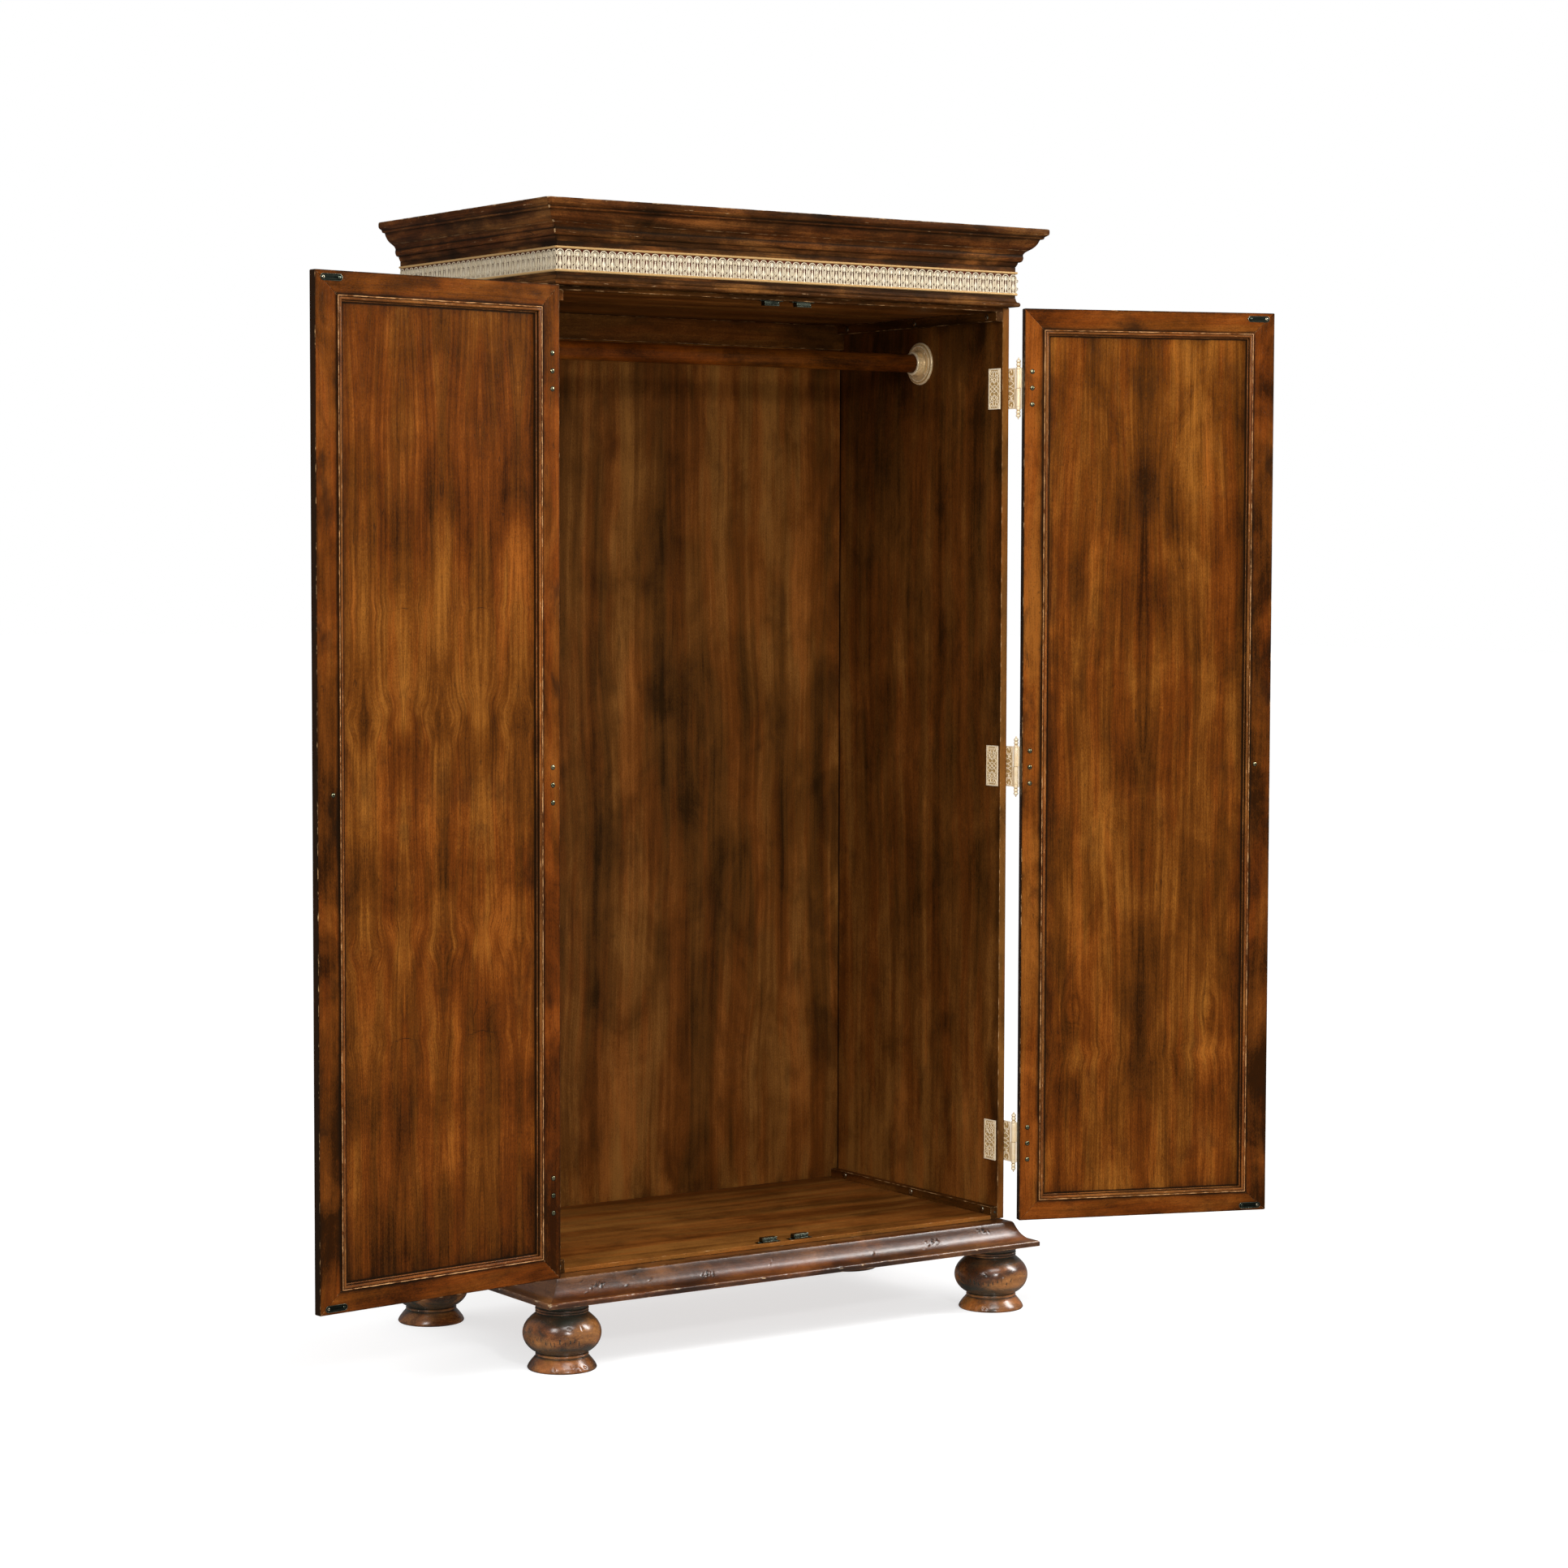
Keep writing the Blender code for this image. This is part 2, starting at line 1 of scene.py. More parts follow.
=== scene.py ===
"""Looks of the two-door wardrobe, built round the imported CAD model."""

import json
import random
from math import ceil, cos, pi, radians, sin

import bmesh
import bpy
import numpy as np
from mathutils import Matrix, Vector, noise


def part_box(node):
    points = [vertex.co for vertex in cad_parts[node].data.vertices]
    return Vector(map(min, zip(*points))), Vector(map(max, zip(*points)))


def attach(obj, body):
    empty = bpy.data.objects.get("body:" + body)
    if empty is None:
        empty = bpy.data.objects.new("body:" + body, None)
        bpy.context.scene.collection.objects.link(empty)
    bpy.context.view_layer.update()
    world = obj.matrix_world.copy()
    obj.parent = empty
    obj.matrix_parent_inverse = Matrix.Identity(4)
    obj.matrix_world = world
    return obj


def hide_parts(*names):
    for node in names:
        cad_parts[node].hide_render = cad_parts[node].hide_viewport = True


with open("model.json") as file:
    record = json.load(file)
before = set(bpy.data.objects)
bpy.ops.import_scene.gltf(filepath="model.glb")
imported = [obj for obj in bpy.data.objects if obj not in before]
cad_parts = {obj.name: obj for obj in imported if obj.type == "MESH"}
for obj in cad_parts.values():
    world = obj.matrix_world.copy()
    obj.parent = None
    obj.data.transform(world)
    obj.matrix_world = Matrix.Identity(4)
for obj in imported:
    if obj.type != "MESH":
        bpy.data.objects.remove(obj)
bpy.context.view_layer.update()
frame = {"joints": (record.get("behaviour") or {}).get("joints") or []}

MM = 0.001

# ---- frames of the carcass and the doors
right_wall, left_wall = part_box("side_panel_right"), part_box("side_panel_left")
BODY = Vector(((right_wall[1].x + left_wall[0].x) / 2, right_wall[0].y, 0))
CARCASS = Matrix.Translation(BODY) @ Matrix.Scale(MM, 4)


def span(node):
    """Lowest and highest corners of a CAD node in the carcass frame, in millimetres."""
    low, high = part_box(node)
    return (low - BODY) / MM, (high - BODY) / MM


HALF = span("side_panel_right")[1].x
DEPTH = span("side_panel_right")[1].y
FRONT_STEP = 28.4  # how far the mouldings' front lengths stand before the side panels' front edges

DOOR = {}  # from the shut right door's frame, about its hinge axis, to each door at rest
for joint in frame["joints"]:
    side = joint["child"].split("_")[0]
    x, y, z = joint["pos_m"]
    swing = radians(-joint["range_deg"][0])
    turn = Matrix.Rotation(swing if side == "right" else -swing, 4, "Z")
    mirror = Matrix.Diagonal((1 if side == "right" else -1, 1, 1, 1))
    DOOR[side] = Matrix.Translation((x, y, 0)) @ turn @ mirror @ Matrix.Scale(MM, 4)
AXIS_OUT, AXIS_FRONT = 4.1, 26.5
MIRROR = {"right": Matrix.Identity(4), "left": Matrix.Diagonal((-1, 1, 1, 1))}

DOOR_LOW, DOOR_HIGH = (span("door_right_lock_stile")[i].z for i in (0, 1))
DOOR_WIDE, DOOR_THICK = 539.0, 17.5
HINGE_STILE, LOCK_STILE, TOP_RAIL, BOTTOM_RAIL = 47.0, 52.0, 48.0, 46.0
EDGE_X = -4.6  # the door's hinge edge, from the axis
MOULD_OVER = 6.0  # how far the moulding laps over the frame
SHUT_GAP = 1.8
DOOR_FACE = AXIS_FRONT - SHUT_GAP
HINGE_HALF = 41.2
HINGE_Z = {level: span(f"hinge_right_{level}_door_leaf")[0].z + HINGE_HALF
           for level in ("top", "middle", "bottom")}


# ---- geometry in millimetres
ORDER = {"x": [0, 2, 1], "y": [1, 2, 0], "z": [2, 0, 1]}


class Geo:
    """Points and faces of one piece, with the wood's own coordinates, its rubbing and painted highlights, and
    its glazing and painted shade at each point.
    """

    def __init__(self, along="z"):
        self.along, self.points, self.faces, self.values, self.count = along, [], [], [], 0

    def add(self, points, faces, tone=0.0, wear=0.0, glaze=0.0, along=None, grain=None):
        points = np.asarray(points, float).reshape(-1, 3)
        n = len(points)
        if grain is None:
            grain = points[:, ORDER[along or self.along]]
        columns = [np.broadcast_to(np.asarray(c, float).reshape(-1), (n,)) for c in (tone, wear, glaze)]
        self.values.append(np.column_stack([grain, *columns]))
        self.points.append(points)
        self.faces += [tuple(int(i) + self.count for i in f) for f in faces]
        self.count += n
        return self


def grid(points, wrap_u=False, wrap_v=False):
    """Rows of points as a list, and the quads between them."""
    rows, cols = points.shape[:2]
    index = np.arange(rows * cols).reshape(rows, cols)
    if wrap_u:
        index = np.vstack([index, index[:1]])
    if wrap_v:
        index = np.hstack([index, index[:, :1]])
    quads = np.stack([index[:-1, :-1], index[1:, :-1], index[1:, 1:], index[:-1, 1:]], -1)
    return points.reshape(-1, 3), quads.reshape(-1, 4).tolist()


def normals(points, wrap_u=False, wrap_v=False):
    """Normals of a grid of points, from its neighbours."""

    def slope(axis, wrap):
        if wrap:
            return np.roll(points, -1, axis) - np.roll(points, 1, axis)
        return np.gradient(points, axis=axis)

    n = np.cross(slope(0, wrap_u), slope(1, wrap_v))
    return n / np.maximum(np.linalg.norm(n, axis=-1, keepdims=True), 1e-9)


def border(index):
    """The points round the edge of a grid, in order."""
    sides = (index[:, 0], index[-1, 1:], index[::-1, -1][1:], index[0, ::-1][1:-1])
    return np.concatenate(sides).tolist()


def piece(name, geo, look, body, matrix=CARCASS, nodes=(), angle=38, faces_look=None):
    """Makes the object from its parent's millimetres and puts it on its body."""
    points, values = np.concatenate(geo.points), np.concatenate(geo.values)
    mesh = bpy.data.meshes.new(name)
    mesh.from_pydata(points.tolist(), [], geo.faces)
    rng = random.Random(name)
    shift = np.array([rng.uniform(-9, 9), rng.uniform(-9, 9), rng.uniform(-9, 9)])
    grain = mesh.attributes.new("grain", "FLOAT_VECTOR", "POINT")
    grain.data.foreach_set("vector", (values[:, :3] * MM + shift).astype(np.float32).ravel())
    for i, label in enumerate(("tone", "wear", "glaze")):
        layer = mesh.attributes.new(label, "FLOAT", "POINT")
        layer.data.foreach_set("value", values[:, 3 + i].astype(np.float32))
    bm = bmesh.new()
    bm.from_mesh(mesh)
    bmesh.ops.remove_doubles(bm, verts=bm.verts, dist=0.002)
    bmesh.ops.recalc_face_normals(bm, faces=bm.faces)
    bm.to_mesh(mesh)
    bm.free()
    mesh.transform(matrix)
    if matrix.determinant() < 0:
        mesh.flip_normals()
    looks = look if isinstance(look, (list, tuple)) else [look]
    for each in looks:
        mesh.materials.append(each)
    mesh.shade_smooth()
    mesh.set_sharp_from_angle(angle=radians(angle))
    obj = bpy.data.objects.new(name, mesh)
    bpy.context.scene.collection.objects.link(obj)
    if faces_look:
        for polygon in mesh.polygons:
            polygon.material_index = faces_look(polygon)
    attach(obj, body)
    if nodes:
        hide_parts(*([nodes] if isinstance(nodes, str) else nodes))
    return obj


def through(run, step):
    """Points on a smooth line through the given ones; further columns are carried along."""
    run = np.array(run, float)
    if len(run) == 2:
        n = max(1, ceil(np.hypot(*(run[1] - run[0])[:2]) / step))
        return np.array([run[0] + (run[1] - run[0]) * k / n for k in range(n + 1)])
    ends = np.vstack([2 * run[0] - run[1], run, 2 * run[-1] - run[-2]])
    made = []
    for i in range(1, len(ends) - 2):
        a, b, c, d = ends[i - 1 : i + 3]
        n = max(1, ceil(np.hypot(*(c - b)[:2]) / step))
        for k in range(n):
            t = k / n
            spot = b + (c - b) * t
            curve = 2 * b + (c - a) * t + (2 * a - 5 * b + 4 * c - d) * t * t + (3 * b - a - 3 * c + d) * t**3
            spot[:2] = curve[:2] / 2
            made.append(spot)
    made.append(run[-1])
    return np.array(made)


def outline(runs, step):
    """Smooth runs joined at their sharp corners."""
    made = [through(run, step) for run in runs]
    return np.vstack([made[0]] + [m[1:] for m in made[1:]])


def cuts(length, soft, step):
    """Places along one side of a board: close together at its ends and evenly spaced between them."""
    near = [0, soft * 0.4, soft, soft + 1.2, *(soft + v for v in (4, 7, 10, 14, 20, 30, 48))]
    near = [v for v in near if v < length * 0.45]
    middle = np.linspace(near[-1], length - near[-1], max(2, ceil((length - 2 * near[-1]) / step) + 1))
    return np.array(near[:-1] + middle.tolist() + [length - v for v in reversed(near[:-1])])


def slab(low, high, soft=1.0, step=80.0, wear=0.8, shade=0.0, reach=30.0, shape=None, along="z",
         tone=0.0, dark=None, geo=None, vein=None, extra=()):
    """A board with rounded edges. shade paints shade on its faces near their borders, and dark adds further
    painted shade and dark glazing.

    shape moves its points at the end, vein gives the wood's own coordinates at them, and extra holds
    (axis, places) of further lines of points.
    """
    geo = geo or Geo(along)
    low, high = np.array(low, float), np.array(high, float)
    size = high - low
    soft = min(soft, size.min() * 0.45)
    lines = [cuts(length, soft, step) for length in size]
    for axis, places in extra:
        lines[axis] = np.unique(np.concatenate([lines[axis], np.array(places) - low[axis]]).round(3))
    for axis in range(3):
        u, v = [i for i in range(3) if i != axis]
        for end in (0, 1):
            a, b = np.meshgrid(lines[u], lines[v], indexing="ij")
            p = np.zeros((*a.shape, 3))
            p[..., u], p[..., v], p[..., axis] = a, b, end * size[axis]
            from_edge = np.minimum(np.minimum(a, size[u] - a), np.minimum(b, size[v] - b))
            inner = np.clip(p, soft, size - soft)
            away = p - inner
            length = np.maximum(np.linalg.norm(away, axis=-1, keepdims=True), 1e-9)
            p = inner + away / length * soft + low
            # Lighter edges: rubbing, and painted highlights on the arrises.
            worn_and_lit = wear * np.clip(1 - from_edge / (soft + 1.2), 0, 1)
            shadow = shade * np.clip(1 - (from_edge - soft) / reach, 0, 1)
            points, faces = grid(p)
            shading = shadow.ravel() + (dark(points) if dark else 0)
            shift = tone(points) if callable(tone) else tone
            grain = vein(points) if vein else None
            if shape:
                points = shape(points)
            geo.add(points, faces, tone=shift, wear=worn_and_lit.ravel(), glaze=shading, along=along, grain=grain)
    return geo


def board(name, nodes=None, along="z", look=None, slot="walnut", body="carcass", **kw):
    """A board in the place of a CAD node."""
    nodes = nodes or name
    low, high = span(nodes)
    return piece(name, slab(low, high, along=along, **kw), look, body, nodes=nodes)


def lathe(profile, segments, centre=(0, 0, 0), axis="z", along="z", geo=None, marks=(), tone=0.0, uneven=0.0):
    """A turned solid from rows of (radius, height, rubbing and painted highlight, glazing and painted shade)
    running from the top down.
    """
    geo = geo or Geo(along)
    angles = np.arange(segments) * 2 * pi / segments
    r, h = profile[:, 0][:, None], profile[:, 1][:, None]
    p = np.stack([r * np.cos(angles), r * np.sin(angles), h + 0 * angles], -1)
    wear = np.repeat(profile[:, 2][:, None], segments, 1)
    glaze = np.repeat(profile[:, 3][:, None], segments, 1)
    if marks or uneven:
        n = normals(p, wrap_v=True)
        out = np.sign((n[..., :2] * p[..., :2]).sum(-1).mean()) or 1
        p, wear, glaze = pressed(p, n * out, wear, glaze, marks, uneven)
    turn = {"z": Matrix.Identity(3), "x": Matrix.Rotation(pi / 2, 3, "Y"),
            "y": Matrix.Rotation(-pi / 2, 3, "X")}
    p = p @ np.array(turn[axis].transposed()) + np.array(centre)
    points, faces = grid(p, wrap_v=True)
    return geo.add(points, faces, tone=tone, wear=wear.ravel(), glaze=glaze.ravel(), along=along)


def pressed(p, n, wear, glaze, marks, uneven=0.0):
    """Dents and scratches. A mark is (u0, v0, u1, v1, width, depth, dark), with u and v as grid shares.

    A negative dark bares the wood there instead of filling the mark with glaze.
    """
    rows, cols = p.shape[:2]
    base = p.copy()
    for u0, v0, u1, v1, width, depth, dark in marks:
        a = base[int(u0 * (rows - 1)), int(v0 * (cols - 1))]
        b = base[int(u1 * (rows - 1)), int(v1 * (cols - 1))]
        along = b - a
        t = np.clip(((base - a) @ along) / max(along @ along, 1e-6), 0, 1)
        d = np.linalg.norm(base - a - t[..., None] * along, axis=-1)
        k = np.clip(1 - (d / width) ** 2, 0, 1)
        p = p - n * (k * depth)[..., None]
        glaze = np.maximum(glaze, dark * np.clip(k * 1.6, 0, 1))
        if dark < 0:
            wear = np.maximum(wear, -dark * np.clip(k * 2, 0, 1))
        elif dark > 0.6:
            rim = np.clip(1 - abs(d / width - 1.25) / 0.3, 0, 1)
            wear = np.maximum(wear, 0.3 * rim)
    if uneven:
        flat = base.reshape(-1, 3)
        wave = np.array([noise.noise(Vector(q) * 0.045) + 0.6 * noise.noise(Vector(q) * 0.21) for q in flat])
        sunk = (uneven * np.clip(0.35 + wave, 0, 1.4) * (0.3 + wear.ravel())).reshape(rows, cols)
        p = p - n * sunk[..., None]
    return p, wear, glaze


# ---- materials
class Tree:
    """Short names for building a material's nodes."""

    def __init__(self, name):
        self.material = bpy.data.materials.new(name)
        self.material.use_nodes = True
        self.nodes, self.links = self.material.node_tree.nodes, self.material.node_tree.links
        self.shader = self.nodes["Principled BSDF"]

    def plug(self, socket, value):
        if isinstance(value, bpy.types.NodeSocket):
            self.links.new(value, socket)
        elif value is not None:
            socket.default_value = value

    def read(self, name, output="Fac"):
        node = self.nodes.new("ShaderNodeAttribute")
        node.attribute_name = name
        return node.outputs[output]

    def maths(self, operation, a, b=None, c=None, clamp=False):
        node = self.nodes.new("ShaderNodeMath")
        node.operation, node.use_clamp = operation, clamp
        for socket, value in zip(node.inputs, (a, b, c)):
            self.plug(socket, value)
        return node.outputs[0]

    def vector(self, operation, a, b):
        node = self.nodes.new("ShaderNodeVectorMath")
        node.operation = operation
        self.plug(node.inputs[0], a)
        self.plug(node.inputs[1], b)
        return node.outputs[0]

    def noise(self, vector, scale, detail=2.0, rough=0.5, distortion=0.0, output="Fac"):
        """Noise over a vector first scaled by scale, which is a number or one for each direction."""
        if not isinstance(scale, (int, float)):
            vector, scale = self.vector("MULTIPLY", vector, scale), 1.0
        node = self.nodes.new("ShaderNodeTexNoise")
        self.plug(node.inputs["Vector"], vector)
        for socket, value in zip(("Scale", "Detail", "Roughness", "Distortion"),
                                 (scale, detail, rough, distortion)):
            node.inputs[socket].default_value = value
        return node.outputs[output]

    def ramp(self, value, stops):
        node = self.nodes.new("ShaderNodeValToRGB")
        marks = node.color_ramp.elements
        while len(marks) < len(stops):
            marks.new(0.5)
        for mark, (place, colour) in zip(marks, stops):
            mark.position, mark.color = place, (*colour, 1)
        self.plug(node.inputs[0], value)
        return node.outputs[0]

    def step(self, value, low, high):
        node = self.nodes.new("ShaderNodeMapRange")
        node.interpolation_type = "SMOOTHSTEP"
        self.plug(node.inputs["Value"], value)
        node.inputs["From Min"].default_value, node.inputs["From Max"].default_value = low, high
        return node.outputs["Result"]

    def mix(self, share, a, b, blend="MIX"):
        node = self.nodes.new("ShaderNodeMix")
        node.data_type, node.blend_type = "RGBA", blend
        self.plug(node.inputs[0], share)
        self.plug(node.inputs[6], a if isinstance(a, bpy.types.NodeSocket) else (*a, 1))
        self.plug(node.inputs[7], b if isinstance(b, bpy.types.NodeSocket) else (*b, 1))
        return node.outputs[2]

    def bump(self, height, distance, strength=1.0):
        node = self.nodes.new("ShaderNodeBump")
        node.inputs["Distance"].default_value, node.inputs["Strength"].default_value = distance, strength
        self.plug(node.inputs["Height"], height)
        self.plug(self.shader.inputs["Normal"], node.outputs[0])

    def set(self, **values):
        for name, value in values.items():
            self.plug(self.shader.inputs[name.replace("_", " ")], value)
        return self.material


def wood(name, dark, middle, light, worn_and_lit=(0.36, 0.2, 0.085), black=(0.008, 0.004, 0.0018), streaks=1.0,
         clouds=1.0, rough=0.36, coat=0.0, strips=0.0, gleam=0.12, cracks=0.5, flecks=0.5, broad=0.0,
         sheen=(1, 0.72, 0.42), haze=0.2):
    """Stained and glazed walnut: grain, pores, cloudy glazing with painted shade, fine cracks, edges lighter
    from rubbing and painted highlights, and satin lacquer.
    """
    t = Tree(name)

    def swing(shade, value, gain):
        """shade, moved up and down by a value about 0.5."""
        return t.maths("ADD", shade, t.maths("MULTIPLY_ADD", value, gain, -gain / 2))

    def darken_with(colour, share, amount, other):
        return t.mix(t.maths("MULTIPLY", share, amount), colour, other)

    grain, tone, wear, glaze = t.read("grain", "Vector"), t.read("tone"), t.read("wear"), t.read("glaze")
    wander = t.vector("SUBTRACT", t.noise(grain, (1.3, 3.6, 3.6), 2.0, output="Color"), (0.5, 0.5, 0.5))
    bent = t.vector("ADD", grain, t.vector("MULTIPLY", wander, (0.0, 0.07, 0.07)))
    streak = t.noise(bent, (2.2, 95, 50), 5.0, 0.66)
    fine = t.noise(bent, (9, 420, 330), 2.0, 0.6)
    grit = t.noise(grain, (210, 560, 560), 2.0, 0.75)
    cloud = t.noise(grain, (5.5, 9.5, 9.5), 5.0, 0.62, 0.5)
    shade = t.maths("MULTIPLY_ADD", streak, 1.3 * streaks, 0.5 - 0.65 * streaks)
    shade = swing(shade, fine, 0.4 * streaks)
    shade = swing(shade, grit, 0.62)
    shade = swing(shade, cloud, 1.7 * clouds)
    shade = t.maths("ADD", shade, tone)
    if broad:
        shade = swing(shade, t.noise(bent, (0.45, 15, 15), 4.0, 0.62), broad)
    if strips:
        node = t.nodes.new("ShaderNodeTexVoronoi")
        node.voronoi_dimensions, node.feature = "1D", "F1"
        split = t.nodes.new("ShaderNodeSeparateXYZ")
        t.plug(split.inputs[0], grain)
        t.plug(node.inputs["W"], split.outputs[1])
        node.inputs["Scale"].default_value = 9.0
        leaves = t.nodes.new("ShaderNodeSeparateColor")
        t.plug(leaves.inputs[0], node.outputs["Color"])
        shade = swing(shade, leaves.outputs[0], strips)
    colour = t.ramp(shade, [(0.0, dark), (0.5, middle), (1.0, light)])
    warm = t.step(t.noise(bent, (2.4, 22, 22), 3.0, 0.6), 0.42, 0.6)
    colour = t.mix(warm, colour, t.mix(1.0, colour, (1.08, 0.9, 0.8), "MULTIPLY"))
    lines = t.step(t.noise(bent, (1.8, 250, 190), 3.0, 0.6), 0.5, 0.3)
    colour = darken_with(colour, lines, 0.42 * streaks, dark)
    smudge = t.step(t.noise(grain, (9, 16, 16), 4.0, 0.6, 0.4), 0.47, 0.27)
    colour = darken_with(colour, smudge, 0.55 * clouds, black)
    pits = t.step(t.noise(bent, (40, 1300, 1000), 1.0), 0.42, 0.3)
    colour = darken_with(colour, pits, 0.35, dark)
    specks = t.step(t.noise(grain, (330, 560, 560), 2.0, 0.7), 0.45, 0.28)
    colour = darken_with(colour, specks, flecks, black)
    edge = t.maths("ABSOLUTE", t.maths("SUBTRACT", t.noise(bent, (4.5, 60, 60), 1.0, 0.5), 0.5))
    patchy = t.step(t.noise(grain, (21, 25, 25), 1.0), 0.63, 0.67)
    crack = t.maths("MULTIPLY", t.step(edge, 0.012, 0.002), patchy)
    colour = darken_with(colour, crack, cracks, black)
    # Glazing, and painted shade in hollows, under parts and near borders, darken the colour towards black in
    # cloudy patches.
    glaze_and_shade_amount = t.maths("MULTIPLY_ADD", t.maths("SUBTRACT", cloud, 0.5), -1.3, glaze)
    colour = darken_with(colour, t.step(glaze_and_shade_amount, 0.05, 0.95), 0.93, black)
    # Rubbing, and painted highlights on arrises and beads, lighten the colour in broken patches.
    scuff = t.noise(grain, (50, 300, 300), 3.0, 0.7)
    rubbed_and_lit = t.step(t.maths("MULTIPLY_ADD", t.maths("SUBTRACT", scuff, 0.5), 2.6, wear), 0.55, 1.05)
    rubbed_and_lit = t.maths("MULTIPLY", rubbed_and_lit, t.step(wear, 0.02, 0.2))
    colour = t.mix(rubbed_and_lit, colour, worn_and_lit)
    gloss = t.maths("MULTIPLY_ADD", cloud, 0.22, rough - 0.11)
    gloss = t.maths("ADD", gloss, t.maths("MULTIPLY", rubbed_and_lit, 0.12))
    height = t.maths("MULTIPLY_ADD", pits, -0.7,
                     t.maths("MULTIPLY_ADD", streak, 0.5, t.maths("MULTIPLY", fine, 0.35)))
    t.bump(t.maths("MULTIPLY_ADD", crack, -1.0, height), 0.00028, 0.5)
    return t.set(Base_Color=colour, Roughness=gloss, Coat_Weight=coat, Coat_Roughness=haze,
                 Specular_IOR_Level=gleam, Specular_Tint=(*sheen, 1))


def metal(name, colour, deep, rough=0.32, pitted=0.3, metallic=1.0, tint=(0.9, 0.75, 0.5),
          bright=(0.95, 0.86, 0.68), golden=(0.62, 0.4, 0.17)):
    """Cast metal with darker hollows, brighter rubbed edges and a fine skin. tone turns it golden."""
    t = Tree(name)
    grain, tone, wear, glaze = t.read("grain", "Vector"), t.read("tone"), t.read("wear"), t.read("glaze")
    patch = t.noise(grain, 55, 3.0, 0.6)
    skin = t.noise(grain, 1500, 3.0, 0.6)
    colour = t.mix(t.step(patch, 0.35, 0.7), colour, tint)
    colour = t.mix(tone, colour, golden)
    colour = t.mix(t.maths("MULTIPLY", t.step(skin, 0.5, 0.25), pitted), colour, deep)
    hollow = t.step(t.maths("MULTIPLY_ADD", t.maths("SUBTRACT", patch, 0.5), 0.6, glaze), 0.1, 0.9)
    colour = t.mix(hollow, colour, deep)
    colour = t.mix(t.maths("MULTIPLY", t.step(wear, 0.3, 1.0), 0.6), colour, bright)
    gloss = t.maths("MULTIPLY_ADD", patch, 0.2, rough - 0.1)
    gloss = t.maths("ADD", gloss, t.maths("MULTIPLY", hollow, 0.25))
    t.bump(skin, 0.00012, 0.5)
    return t.set(Base_Color=colour, Roughness=gloss, Metallic=metallic)


PANEL = wood("walnut_panel", (0.016, 0.0045, 0.0006), (0.091, 0.0248, 0.0022), (0.215, 0.0735, 0.009),
             streaks=0.85, clouds=0.62, gleam=0.06, cracks=0.5)
FRAME = wood("walnut_frame", (0.018, 0.005, 0.0007), (0.098, 0.0255, 0.0024), (0.19, 0.059, 0.0075),
             streaks=0.6, clouds=1.15, cracks=0.45, rough=0.33, gleam=0.07)
INNER = wood("walnut_interior", (0.02, 0.0078, 0.0016), (0.096, 0.0325, 0.0056), (0.215, 0.085, 0.0165),
             streaks=0.42, clouds=0.62, strips=0.15, rough=0.45, cracks=0.2, gleam=0.06, broad=1.9)
CROWN = wood("dark_walnut_crown", (0.006, 0.0028, 0.001), (0.05, 0.0165, 0.0036), (0.16, 0.062, 0.0135),
             worn_and_lit=(0.27, 0.165, 0.08), streaks=0.9, clouds=1.1, rough=0.42, gleam=0.04, cracks=0.7,
             flecks=0.7)
DARKER = wood("dark_walnut", (0.009, 0.0038, 0.0014), (0.06, 0.0185, 0.0042), (0.165, 0.06, 0.0135),
              worn_and_lit=(0.4, 0.27, 0.15),
              streaks=0.35, clouds=1.3, rough=0.26, coat=0.9, gleam=0.2, cracks=0.4, flecks=0.2,
              sheen=(1, 0.92, 0.86), haze=0.3)
# The feet's black is greenish grey: where it darkens the belly's underside, it is also a painted reflection
# of the floor.
TURNED = wood("turned_walnut", (0.007, 0.0046, 0.0022), (0.078, 0.0265, 0.0072), (0.29, 0.115, 0.028),
              worn_and_lit=(0.5, 0.38, 0.26),
              black=(0.019, 0.0215, 0.0155), streaks=0.25, clouds=2.0, rough=0.24, coat=1.0, gleam=0.25,
              cracks=0.3, flecks=0.3, haze=0.23, sheen=(1, 0.92, 0.86))
# The door moulding's lighter colour paints the beads' highlights as well as rubbing.
GILT = wood("rubbed_moulding", (0.022, 0.007, 0.0018), (0.1, 0.03, 0.0045), (0.24, 0.088, 0.016),
            worn_and_lit=(0.44, 0.225, 0.088), streaks=0.9, clouds=0.6, rough=0.3, coat=0.25, gleam=0.15, flecks=0.7)
GROUND = wood("red_ground", (0.01, 0.002, 0.001), (0.055, 0.0075, 0.0035), (0.11, 0.018, 0.008), streaks=0.2,
              clouds=0.8)
BRASS = metal("cast_brass", (0.88, 0.68, 0.41), (0.5, 0.32, 0.12), tint=(0.93, 0.78, 0.55), metallic=0.3,
              rough=0.36)
POLISHED = metal("polished_brass", (0.8, 0.56, 0.27), (0.34, 0.19, 0.06), tint=(0.88, 0.66, 0.37),
                 metallic=0.5, rough=0.27, pitted=0.2, bright=(0.97, 0.84, 0.6))
GILDING = metal("pale_gilding", (0.53, 0.44, 0.3), (0.11, 0.05, 0.025), tint=(0.6, 0.52, 0.38), metallic=0.4,
                rough=0.4, bright=(0.8, 0.73, 0.58), golden=(0.48, 0.29, 0.11))
BRONZE = metal("dark_bronze", (0.05, 0.06, 0.042), (0.004, 0.006, 0.0045), rough=0.27, pitted=0.7,
               tint=(0.2, 0.23, 0.17), bright=(0.36, 0.4, 0.31))
BOLT = metal("aged_bolt", (0.2, 0.21, 0.12), (0.01, 0.013, 0.009), rough=0.25, pitted=0.8,
             tint=(0.38, 0.34, 0.19), bright=(0.6, 0.58, 0.42))
STEEL = metal("plated_steel", (0.4, 0.36, 0.26), (0.08, 0.07, 0.04), rough=0.27, tint=(0.6, 0.55, 0.4))


